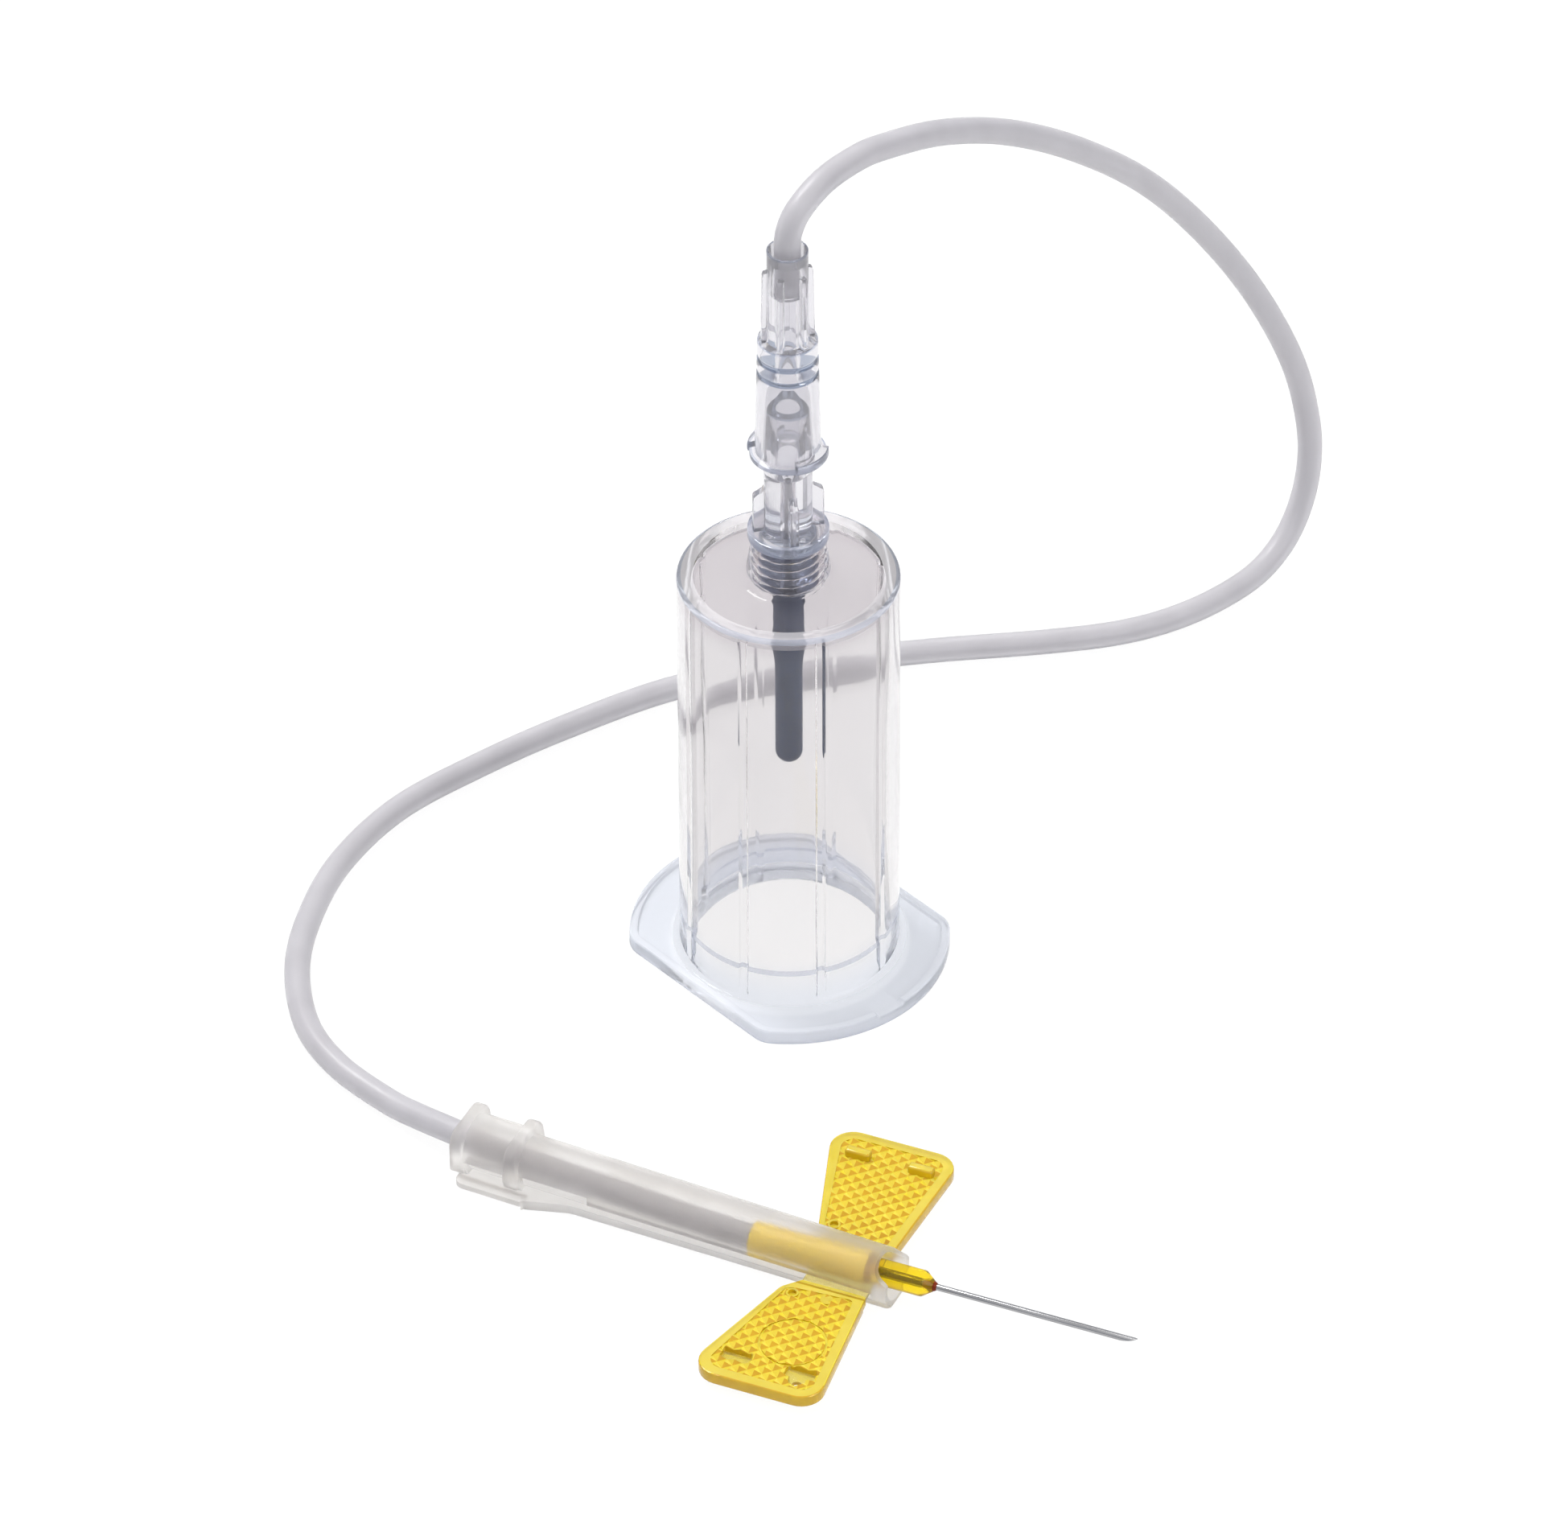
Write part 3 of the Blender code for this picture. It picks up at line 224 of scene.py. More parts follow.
def holder_plastic(name, haze):
    """Clear plastic, bluish in the flange, warm in the barrel and deeper in the disc and neck."""
    material = clear_plastic(name, (0.9, 0.9, 0.9), (0.93, 0.93, 0.93), (0.03, 0.08), HOLDER_IOR,
                             haze)
    tree = material.node_tree
    shader = tree.nodes["Principled BSDF"]
    place = tree.nodes.new("ShaderNodeTexCoord")
    parts = tree.nodes.new("ShaderNodeSeparateXYZ")
    tree.links.new(place.outputs["Object"], parts.inputs[0])
    rise = tree.nodes.new("ShaderNodeMath")
    rise.operation = "MULTIPLY"
    rise.inputs[1].default_value = 1 / TINT_SPAN
    tree.links.new(parts.outputs["Z"], rise.inputs[0])
    tint = ramp(tree, rise.outputs[0], TINT_STOPS)
    mix = tree.nodes.new("ShaderNodeMix")
    mix.data_type = "RGBA"
    mix.blend_type = "MULTIPLY"
    mix.inputs["Factor"].default_value = 0.35
    flow_marks = shader.inputs["Base Color"].links[0].from_socket
    tree.links.new(tint, mix.inputs["A"])
    tree.links.new(flow_marks, mix.inputs["B"])
    tree.links.new(mix.outputs["Result"], shader.inputs["Base Color"])
    return material


def frosted_plastic(name):
    material, tree, shader = new_material(name)
    set_values(shader, Transmission_Weight=0.92, IOR=1.2, Specular_IOR_Level=0.3)
    colour_by(tree, shader, noise(tree, 0.35), (0.85, 0.83, 0.81), (0.89, 0.87, 0.85))
    grain = noise(tree, 14.0, 2.0)
    roughen_by(tree, shader, grain, 0.42, 0.56)
    bump_by(tree, shader, grain, 0.014)
    return material


def yellow_plastic(name, low, high, transmission, roughness, subsurface=0.0, ior=1.5):
    material, tree, shader = new_material(name)
    set_values(shader, Transmission_Weight=transmission, IOR=ior, Subsurface_Weight=subsurface)
    set_values(shader, Subsurface_Scale=0.0012, Subsurface_Radius=(1.0, 0.7, 0.15))
    colour_by(tree, shader, noise(tree, 0.4), low, high)
    fine = noise(tree, 2.5)
    roughen_by(tree, shader, fine, roughness * 0.7, roughness * 1.4)
    bump_by(tree, shader, fine, 0.006)
    return material


def rubber(name):
    material, tree, shader = new_material(name)
    set_values(shader, Sheen_Weight=0.15, Sheen_Roughness=0.4, Specular_IOR_Level=0.35)
    cloud = noise(tree, 0.7, stretch=(1, 1, 0.4))
    colour_by(tree, shader, cloud, (0.022, 0.040, 0.095), (0.034, 0.054, 0.115))
    fine = noise(tree, 6.0)
    roughen_by(tree, shader, fine, 0.5, 0.7)
    bump_by(tree, shader, fine, 0.015)
    return material


def drawn_steel(name):
    material, tree, shader = new_material(name)
    set_values(shader, Metallic=1.0)
    lines = noise(tree, 3.0, 4.0, (0.05, 0.05, 3))
    colour_by(tree, shader, lines, (0.30, 0.30, 0.31), (0.45, 0.45, 0.46))
    roughen_by(tree, shader, lines, 0.14, 0.28)
    bump_by(tree, shader, lines, 0.003)
    return material


def epoxy(name):
    material, tree, shader = new_material(name)
    set_values(shader, Specular_IOR_Level=0.12)
    cloud = noise(tree, 1.5, 2.0)
    colour_by(tree, shader, cloud, (0.11, 0.012, 0.003), (0.19, 0.026, 0.006))
    roughen_by(tree, shader, cloud, 0.15, 0.3)
    return material


CLEAR = holder_plastic("clear_holder", haze=0.05)
# Painted shade: grey and bluer copies for the disc's edges, the bore's step and the corner under
# it
CLEAR_BAND_SHADE = clear_plastic("clear_holder_band_painted_shade", (0.72, 0.70, 0.715), (0.76, 0.74, 0.755),
                           rough=(0.04, 0.08), ior=HOLDER_IOR, haze=0.4)
CLEAR_EDGE = holder_plastic("clear_holder_edge", haze=0.35)
CLEAR_RIM_SHADE = clear_plastic("clear_holder_rim_painted_shade", (0.62, 0.65, 0.74), (0.70, 0.73, 0.81),
                          rough=(0.04, 0.08), ior=HOLDER_IOR, haze=0.3)
LUER = clear_plastic("clear_luer", (0.84, 0.83, 0.86), (0.88, 0.87, 0.90),
                     rough=(0.03, 0.07), ior=1.37, haze=0.14, wave=0.01)
# Painted shade: bluer, darker copies for rims, grooves, the thread in the neck and the tip's end
LUER_EDGE_SHADE = clear_plastic("clear_luer_edge_painted_shade", (0.52, 0.55, 0.65), (0.58, 0.61, 0.71),
                          rough=(0.04, 0.08), ior=1.37, haze=0.25, wave=0.01)
LUER_DEEP_SHADE = clear_plastic("clear_luer_deep_painted_shade", (0.20, 0.25, 0.36), (0.27, 0.32, 0.43),
                          rough=(0.04, 0.08), ior=1.4, haze=0.2, wave=0.01)
LUER_LIGHT = clear_plastic("clear_luer_light", (0.92, 0.915, 0.935), (0.95, 0.945, 0.96),
                           rough=(0.03, 0.06), ior=1.33, haze=0.04, wave=0.01)
TUBING = clear_plastic("soft_tubing", (0.64, 0.625, 0.65), (0.69, 0.675, 0.70),
                       rough=(0.3, 0.4), ior=1.36, haze=0.5, wave=0.01)
FROST = frosted_plastic("frosted_plastic")
YELLOW_HUB = yellow_plastic("yellow_hub", (0.95, 0.66, 0.002), (1.0, 0.72, 0.004),
                            transmission=0.15, roughness=0.3)
YELLOW_NOSE = yellow_plastic("yellow_nose", (0.95, 0.68, 0.01), (1.0, 0.76, 0.02),
                             transmission=0.9, roughness=0.06, ior=1.3)
AMBER = yellow_plastic("amber_channel", (0.05, 0.03, 0.004), (0.11, 0.065, 0.008),
                       transmission=0.3, roughness=0.15)
YELLOW = yellow_plastic("yellow_wing", (0.88, 0.74, 0.045), (0.92, 0.78, 0.065),
                        transmission=0.5, roughness=0.12, subsurface=0.2)
# Painted shade: a deeper orange on the sides and in the near wing's ring
ORANGE_SHADE = yellow_plastic("yellow_edge_painted_shade", (0.68, 0.44, 0.008), (0.76, 0.52, 0.012),
                        transmission=0.55, roughness=0.15, subsurface=0.1)
# Painted shade on the facets that face away from the light, deep and half deep
FACET_SHADE = yellow_plastic("yellow_facet_painted_shade", (0.58, 0.31, 0.005), (0.66, 0.37, 0.007),
                      transmission=0.4, roughness=0.12)
FACET_HALF_SHADE = yellow_plastic("yellow_facet_painted_half_shade", (0.80, 0.62, 0.02), (0.85, 0.67, 0.03),
                      transmission=0.5, roughness=0.12, subsurface=0.1)
PALE = yellow_plastic("yellow_pale", (0.75, 0.61, 0.065), (0.80, 0.66, 0.09),
                      transmission=0.5, roughness=0.14, subsurface=0.2)
# Paler and clearer, for thin plastic and as painted light over shade on the web and in the pits
THIN_PAINTED_LIGHT = yellow_plastic("yellow_thin_painted_light", (0.97, 0.86, 0.30), (1.0, 0.90, 0.38),
                      transmission=0.85, roughness=0.15)
WINGS = [YELLOW, ORANGE_SHADE, FACET_SHADE, FACET_HALF_SHADE, PALE, THIN_PAINTED_LIGHT]
RUBBER = rubber("grey_rubber")
STEEL = drawn_steel("steel")
EPOXY = epoxy("red_epoxy")


# Mesh helpers. Sizes are in millimetres, in the piece's own frame, until dress scales them

SHARP = math.radians(32)


def angles(steps):
    return np.arange(steps) * 2 * math.pi / steps


def near_turn(turns, centre):
    """Each angle's distance from centre, from -pi to pi."""
    return (turns - centre + math.pi) % (2 * math.pi) - math.pi


def face_outwards(mesh):
    work = bmesh.new()
    work.from_mesh(mesh)
    if work.calc_volume(signed=True) < 0:
        bmesh.ops.reverse_faces(work, faces=work.faces)
        work.to_mesh(mesh)
    work.free()


def dress(name, mesh, matrix, materials, body, replaces):
    """A mesh as a placed object with its materials. A piece that bends gets no body here."""
    face_outwards(mesh)
    mesh.transform(Matrix.Scale(MM, 4))
    mesh.transform(matrix)
    obj = new_object(name, mesh)
    for material in materials:
        mesh.materials.append(material)
    mesh.shade_smooth()
    mesh.set_sharp_from_angle(angle=SHARP)
    if body:
        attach(obj, body)
    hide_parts(*replaces)
    return obj


def finish_piece(name, verts, faces, matrix, materials, body, replaces, pick=None):
    """Vertices and faces as an object. pick gives a face's material by its place."""
    mesh = bpy.data.meshes.new(name)
    mesh.from_pydata([tuple(v) for v in verts], [], faces)
    if pick:
        for face in mesh.polygons:
            face.material_index = materials.index(pick(face.center))
    return dress(name, mesh, matrix, materials, body, replaces)


def grid_mesh(rings, closed=True):
    """A skin over rings of points. Closed joins the last ring to the first, and otherwise the
    first and last rings get a face each."""
    rings = np.asarray(rings, float)
    count, around = rings.shape[:2]
    verts = rings.reshape(-1, 3)
    faces = []
    for i in range(count if closed else count - 1):
        j = (i + 1) % count
        for k in range(around):
            m = (k + 1) % around
            faces.append((i * around + k, i * around + m, j * around + m, j * around + k))
    if not closed:
        faces.append(tuple(reversed(range(around))))
        faces.append(tuple((count - 1) * around + k for k in range(around)))
    return verts, faces


def turn_profile(profile, steps):
    """Rings of a profile of (radius, height) round Z. Either may be an array round the ring."""
    turns = angles(steps)
    rings = []
    for radius, height in profile:
        radius = np.broadcast_to(radius, steps)
        height = np.broadcast_to(height, steps)
        rings.append(np.stack([radius * np.cos(turns), radius * np.sin(turns), height], axis=1))
    return rings


def turned_piece(name, profile, steps, matrix, node, materials, pick=None):
    """A profile turned round Z, as a piece of the body that the other bodies move on."""
    verts, faces = grid_mesh(turn_profile(profile, steps))
    finish_piece(name, verts, faces, matrix, materials, "holder_and_needle", [node], pick)


def fillet(cx, cy, radius, start, end, steps):
    """Points of an arc from start to end, in degrees."""
    turns = [math.radians(start + (end - start) * i / steps) for i in range(steps + 1)]
    return [(cx + radius * math.cos(t), cy + radius * math.sin(t)) for t in turns]


# Tube holder. STEPS is the count of points round it, and slimmer pieces have fewer

BARREL = 46.0
DISC = 1.25
NECK = 4.4
PLATE = 1.25
LIP = 0.4
STEPS, SMALL_STEPS, NEEDLE_STEPS = 720, 96, 48
FLANGE_REACH, FLANGE_HALF, FLANGE_CORNER = 15.9, 12.6, 2.6
FLANGE_TURN = math.radians(-48)
NOTCH_TURN, NOTCH_HALF, NOTCH_REACH = math.radians(-51), 1.45, 15.6
RIBS, FIRST_RIB, RIB_HEIGHT = 8, -72, 0.35
BORE_FOOT, BORE_STEP_TOP, BORE_TOP = 9.8, 9.6, 9.5
WALL_TOP, WALL_FOOT = 10.8, 10.9
PITCH, THREAD_DEPTH = 0.95, 0.24


def flange_radius(inset):
    """The flange's outline as a radius at each angle: two arcs, two flats and round corners."""
    radius, half, corner = FLANGE_REACH - inset, FLANGE_HALF - inset, FLANGE_CORNER - inset
    run, rise = radius - corner, half - corner
    lean = math.degrees(math.asin(rise / run))
    cx = math.sqrt(run ** 2 - rise ** 2)
    points = fillet(0, 0, radius, -lean, lean, 60)
    points += fillet(cx, rise, corner, lean, 90, 24)
    points += fillet(-cx, rise, corner, 90, 180 - lean, 24)
    points += fillet(0, 0, radius, 180 - lean, 180 + lean, 60)
    points += fillet(-cx, -rise, corner, 180 + lean, 270, 24)
    points += fillet(cx, -rise, corner, 270, 360 - lean, 24)
    points = np.array(points)
    dense = []
    for a, b in zip(points, np.roll(points, -1, axis=0)):
        dense += [a + (b - a) * i / 40 for i in range(40)]
    dense = np.array(dense)
    turn = np.arctan2(dense[:, 1], dense[:, 0]) + FLANGE_TURN
    order = np.argsort(turn % (2 * math.pi))
    turn = (turn % (2 * math.pi))[order]
    reach = np.hypot(dense[:, 0], dense[:, 1])[order]
    return np.interp(angles(STEPS), turn, reach, period=2 * math.pi)


def rib_profile():
    """How far the guide ribs stand in from the bore, at each angle."""
    turns = angles(STEPS)
    height = np.zeros(STEPS)
    for i in range(RIBS):
        away = np.abs(near_turn(turns, math.radians(FIRST_RIB + 360 // RIBS * i))) * BORE_TOP
        height = np.maximum(height, np.clip((0.5 - away) / 0.2, 0, 1))
    return RIB_HEIGHT * height


def thread(radius, z):
    """A thread's radius at each angle for a height."""
    phase = (z / PITCH - angles(STEPS) / (2 * math.pi)) % 1.0
    tooth = np.clip(np.minimum(phase, 1 - phase) * 4 - 0.5, 0, 1)
    return radius + THREAD_DEPTH * tooth


def holder_part(place):
    """The plastic at a place: painted bluer shade at the disc's rim and the bore's step, painted
    grey shade on the disc's top edge and in the corner under it, hazy in the flange.
    """
    reach = math.hypot(place.x, place.y)
    under = BARREL - DISC
    at_step = reach < 9.85 and 3.8 < place.z < 4.3
    if at_step or (place.z > BARREL - 0.6 and 10.35 < reach):
        return CLEAR_RIM_SHADE
    at_corner = 9.0 < reach < 9.7 and under - 0.6 < place.z < under + 0.05
    if at_corner or (place.z > BARREL - 0.1 and 9.15 < reach):
        return CLEAR_BAND_SHADE
    return CLEAR_EDGE if place.z < 1.7 and reach > 11.7 else CLEAR


def neck_and_barrel():
    """The outer side's profile, from the neck's mouth down to the flange's top."""
    top = BARREL + NECK
    outer = [(3.02, top - 0.06), (3.08, top), (3.36, top), (3.5, top - 0.05), (3.58, top - 0.2)]
    outer += [(3.58 + 0.47 * i / 6, top - 0.2 - (NECK - 1.3) * i / 6) for i in range(1, 6)]
    outer += fillet(4.05 + 1.1, BARREL + 1.1, 1.1, 180, 270, 10)
    outer += [(7.0, BARREL), (9.2, BARREL), (9.4, BARREL), (9.6, BARREL + 0.02)]
    outer += [(9.75, BARREL + 0.05)]
    outer += fillet(WALL_TOP - 0.42, BARREL - 0.37, 0.42, 90, 0, 6)
    outer += [(10.805, 40.0), (10.82, 30.0), (10.85, 20.0), (10.88, 8.0), (10.895, 3.0)]
    return outer + fillet(WALL_FOOT + 0.7, PLATE + 0.7, 0.7, 180, 270, 6)


def flange_edge():
    """The flange's profile from its top over the lip, which is open at the notch, to its foot."""
    inner_edge = flange_radius(0.95)
    edge = flange_radius(0.0)
    notch = np.abs(near_turn(angles(STEPS), NOTCH_TURN)) * NOTCH_REACH
    open_lip = np.clip((notch - NOTCH_HALF) / 0.3, 0, 1)
    raised = PLATE + LIP * open_lip
    profile = [
        (np.minimum(inner_edge - 0.12, 11.9), PLATE), (inner_edge - 0.08, PLATE),
        (inner_edge + 0.02, PLATE + 0.12 * LIP * open_lip),
        (inner_edge + 0.12, raised - 0.05 * open_lip), (inner_edge + 0.22, raised),
        (edge - 0.3, raised), (edge - 0.12, raised - 0.04), (edge - 0.03, raised - 0.14),
        (edge, raised - 0.3), (edge + 0.02, 0.6), (edge, 0.25), (edge - 0.07, 0.07)
    ]
    return profile + [(edge - 0.25, 0.0), (12.0, 0.0)]


def bore_and_thread():
    """The inner side's profile, from the foot up the ribbed bore and through the neck's thread."""
    ribs = rib_profile()
    under = BARREL - DISC
    profile = [
        (10.1, 0.0), (9.92, 0.04), (9.83, 0.15), (BORE_FOOT, 0.45), (BORE_FOOT - 0.6 * ribs, 0.9),
        (BORE_FOOT - 1.2 * ribs, 1.5), (BORE_FOOT - 1.6 * ribs, 3.86), (9.77 - 1.55 * ribs, 3.95),
        (9.63 - 1.3 * ribs, 4.2), (BORE_STEP_TOP - 1.25 * ribs, 4.4), (9.57 - 1.1 * ribs, 16.0),
        (9.53 - 1.0 * ribs, 30.0), (BORE_TOP - ribs, under - 0.5), (9.45 - ribs, under - 0.2),
        (9.3 - ribs, under - 0.05), (9.0, under), (6.0, under), (3.35, under), (3.1, under + 0.06)
    ]
    z = under + 0.15
    while z < BARREL + NECK - 0.1:
        profile.append((thread(2.72, z), z))
        z += 0.095
    return profile


def make_holder():
    profile = neck_and_barrel() + flange_edge() + bore_and_thread()
    turned_piece("holder_shell", profile, STEPS, HOLDER, "tube_holder",
                 [CLEAR, CLEAR_EDGE, CLEAR_RIM_SHADE, CLEAR_BAND_SHADE], holder_part)


# Luer adapter. The cone's radius is CONE_TIP at its tip and grows by TAPER a millimetre

STEM = 2.35
CONE_TIP, TAPER = 1.99, 0.03
LUMEN = 8.8


def fin_outline(base, reach, width, count, turn):
    """A circle with fins of even width, as a radius at each angle."""
    result = np.full(STEPS, float(base))
    for i in range(count):
        away = np.abs(near_turn(angles(STEPS), turn + 2 * math.pi * i / count))
        edge = (width / 2) / np.maximum(np.sin(np.minimum(away, math.pi / 2)), 1e-6)
        result = np.maximum(result, np.where(away < math.pi / 2, np.minimum(reach, edge), base))
    return result


def make_adapter():
    """The plug in the neck, with its collar, fins, stem and cone. Returns its tip's height."""
    neck_top = BARREL + NECK
    low = BARREL - DISC
    collar_low, collar_top = neck_top + 0.3, neck_top + 1.45
    stem_top = collar_top + 8.2
    tip = stem_top + 6.8

    def fins(reach):
        return fin_outline(STEM, reach, width=0.85, count=4, turn=math.radians(10.6))

    cone = CONE_TIP + TAPER * (tip - stem_top)
    end = tip - 0.6
    profile = [
        (1.15, end - 0.08), (1.22, end), (1.9, end), (1.975, end - 0.06), (2.0, end - 0.3),
        (cone, stem_top + 0.12), (cone + 0.06, stem_top + 0.02), (2.25, stem_top),
        (STEM, stem_top - 0.1), (STEM, collar_top + 4.95)
    ]
    reach = fins(3.45)
    profile += [
        (fins(2.5), collar_top + 4.72), (fins(3.3), collar_top + 4.18),
        (fins(3.42), collar_top + 4.02), (reach, collar_top + 3.85), (reach, collar_top + 0.3),
        (fins(3.47), collar_top + 0.08), (np.maximum(reach, 2.5), collar_top), (3.55, collar_top),
        (3.8, collar_top), (3.91, collar_top - 0.05), (3.95, collar_top - 0.18),
        (3.95, collar_low + 0.15), (3.9, collar_low + 0.03), (3.75, collar_low),
        (2.75, collar_low), (2.62, collar_low - 0.08)
    ]
    z = collar_low - 0.12
    while z > low + 0.25:
        profile.append((thread(2.36, z + 0.2), z))
        z -= 0.079
    profile += [(2.35, low + 0.12), (2.2, low), (1.0, low), (0.82, low - 0.1), (0.78, low - 0.3)]
    profile += [(0.76, low - 1.5), (0.7, low - 1.6), (0.53, low - 1.6)]
    lumen = tip - LUMEN
    profile += [(0.51, lumen - 0.3), (0.6, lumen - 0.05), (1.1, lumen), (1.15, lumen + 0.2)]

    def part(place):
        reach = math.hypot(place.x, place.y)
        # Painted shade on the thread inside the neck, round the tip's end and on the collar's rim
        if (place.z < collar_low - 0.1 and reach > 2.1) or (place.z > end - 0.4 and reach > 1.5):
            return LUER_DEEP_SHADE
        if place.z > stem_top + 0.1:
            return LUER_LIGHT
        in_collar = collar_low - 0.1 < place.z < collar_top + 0.05
        return LUER_EDGE_SHADE if in_collar and reach > 3.3 else LUER

    turned_piece("adapter_body", profile, STEPS, HOLDER, "luer_adapter",
                 [LUER, LUER_EDGE_SHADE, LUER_DEEP_SHADE, LUER_LIGHT], part)
    return tip


# Luer connector. Its heights are over its mouth, which sits GRIP below the adapter's tip

GRIP = 6.3
CONNECTOR = 23.7
SHOULDER = 13.5
GROOVES = (11.65, 9.95)
GROOVE_SHAPE = ((0.38, 0), (0.30, 0.03), (0.16, 0.13), (0, 0.15), (-0.16, 0.13), (-0.30, 0.03),
                (-0.38, 0))
LUG_TURN, LUG_REACH, LUG_HALF, LUG_FADE = -41, 3.92, math.radians(37), math.radians(1.6)
SOCKET_GAP = 0.1
TAIL, CUP = 1.98, 1.38


def lugs(base, reach):
    """A circle with two lugs, as a radius at each angle."""
    result = np.full(STEPS, float(base))
    for i in range(2):
        away = np.abs(near_turn(angles(STEPS), math.radians(LUG_TURN + 180 * i)))
        result += (reach - base) * np.clip((LUG_HALF - away) / LUG_FADE, 0, 1)
    return np.minimum(result, reach)


def make_connector(tip):
    """The connector, locked on the adapter's cone."""
    mouth = tip - GRIP
    top = mouth + CONNECTOR
    shoulder = mouth + SHOULDER

    def body(z):
        return 3.2 - 0.3 * (z - mouth) / SHOULDER

    def fins(reach):
        return fin_outline(TAIL, reach, width=0.6, count=6, turn=math.radians(13))

    fin_top = shoulder + 8.0
    root = fins(2.66)
    profile = [
        (1.8, top - 0.02), (1.84, top), (1.93, top), (1.975, top - 0.05), (TAIL, top - 0.2),
        (TAIL, fin_top + 0.05), (fins(2.1), fin_top), (fins(2.3), fin_top - 0.04),
        (fins(2.4), fin_top - 0.15), (fins(2.45), fin_top - 0.4), (fins(2.6), shoulder + 0.12),
        (np.maximum(root, 2.05), shoulder + 0.03), (np.maximum(root, 2.15), shoulder),
        (2.72, shoulder), (2.85, shoulder - 0.04), (2.9, shoulder - 0.18)
    ]
    for middle in GROOVES:
        z = mouth + middle
        profile += [(body(z + offset) - depth, z + offset) for offset, depth in GROOVE_SHAPE]
    profile += [(body(mouth + z), mouth + z) for z in (8.5, 6.0, 3.5, 1.8, 1.2)]
    low = lugs(3.7, LUG_REACH)
    profile += [
        (lugs(body(mouth + 1.05), 3.5), mouth + 1.12),
        (lugs(body(mouth + 1.0), 3.82), mouth + 1.08),
        (lugs(body(mouth + 0.9), 3.9), mouth + 0.98),
        (lugs(body(mouth + 0.52), LUG_REACH), mouth + 0.58), (lugs(3.45, LUG_REACH), mouth + 0.5),
        (lugs(3.66, LUG_REACH), mouth + 0.44), (low, mouth + 0.3), (low - 0.02, mouth + 0.12),
        (np.minimum(low, 3.84), mouth + 0.03), (np.minimum(low, 3.72) - 0.1, mouth)
    ]
    cone = CONE_TIP + TAPER * GRIP + SOCKET_GAP
    profile += [(cone + 0.25, mouth), (cone + 0.05, mouth + 0.15), (cone, mouth + 0.4)]
    floor = mouth + 9.2
    narrow = CONE_TIP - TAPER * 2.9 + SOCKET_GAP
    profile += [(narrow, floor - 0.25), (narrow - 0.15, floor - 0.05), (narrow - 0.4, floor)]
    cup_floor = top - 5.0
    profile += [
        (1.05, floor), (0.85, floor + 0.1), (0.8, floor + 0.4), (0.8, cup_floor - 0.2),
        (0.95, cup_floor), (1.25, cup_floor), (1.37, cup_floor + 0.1), (CUP, cup_floor + 0.4),
        (CUP, top - 1.45), (1.42, top - 1.3), (1.6, top - 0.7)
    ]

    def part(place):
        reach = math.hypot(place.x, place.y)
        # Painted shade in the grooves and on the ring, the shoulder and the top's rim
        if reach > 2 and any(abs(place.z - mouth - middle) < 0.25 for middle in GROOVES):
            return LUER_DEEP_SHADE
        at_ring = place.z < mouth + 1.1 and reach > 3.4
        at_shoulder = reach > 2.75 and abs(place.z - shoulder) < 0.2
        at_top = place.z > top - 0.3
        return LUER_EDGE_SHADE if at_ring or at_shoulder or at_top else LUER

    turned_piece("connector_body", profile, STEPS, HOLDER, "luer_connector",
                 [LUER, LUER_EDGE_SHADE, LUER_DEEP_SHADE], part)


# Tube-side needle and rubber sleeve

REAR_NEEDLE, REAR_SLANT = 31.5, 2.2
SLEEVE = 1.33


def make_rear_needle(tip):
    """The needle bonded into the adapter, with its tip down. Returns the tip's height."""
    top = tip - LUMEN - 0.6
    low = top - REAR_NEEDLE
    slant = REAR_SLANT * (1 + np.cos(angles(NEEDLE_STEPS))) / 2
    profile = [(0.27, top), (0.4, top), (0.41, top - 0.05), (0.41, low + 2.4)]
    profile += [(0.41, low + slant), (0.26, low + 1.1 + 0.63 * (slant - 1.1)), (0.26, top - 0.05)]
    turned_piece("rear_needle_tube", profile, NEEDLE_STEPS, HOLDER, "rear_needle",
                 [STEEL])
    return low


def make_sleeve(needle_low):
    """The sleeve over the rear needle: wide at its upper end, bulging lower down, closed below."""
    low = needle_low - 1.1 - 1.4
    top = BARREL - DISC - 0.3
    profile = [
        (0.9, top), (1.45, top), (1.53, top - 0.08), (1.55, top - 0.4), (1.5, top - 3.0),
        (1.52, top - 5.4), (1.58, top - 6.0), (1.62, top - 6.5), (1.58, top - 7.1),
        (1.47, top - 7.8), (1.38, top - 8.5), (1.34, top - 9.3)
    ]
    profile += [(SLEEVE, z) for z in np.linspace(top - 10.0, low + SLEEVE + 0.2, 12)]
    profile += fillet(0, low + SLEEVE, SLEEVE, 0, -86, 10)
    profile += [(0.01, low), (0.005, low + 0.7), (0.02, low + 1.4), (0.3, low + 1.45)]
    profile += [(0.7, low + 2.0), (0.88, low + 2.6), (0.88, top - 0.02)]
    turned_piece("sleeve_rubber", profile, SMALL_STEPS, HOLDER, "rubber_sleeve",
                 [RUBBER])


# Tubing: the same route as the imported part, in metres from the holder's axis

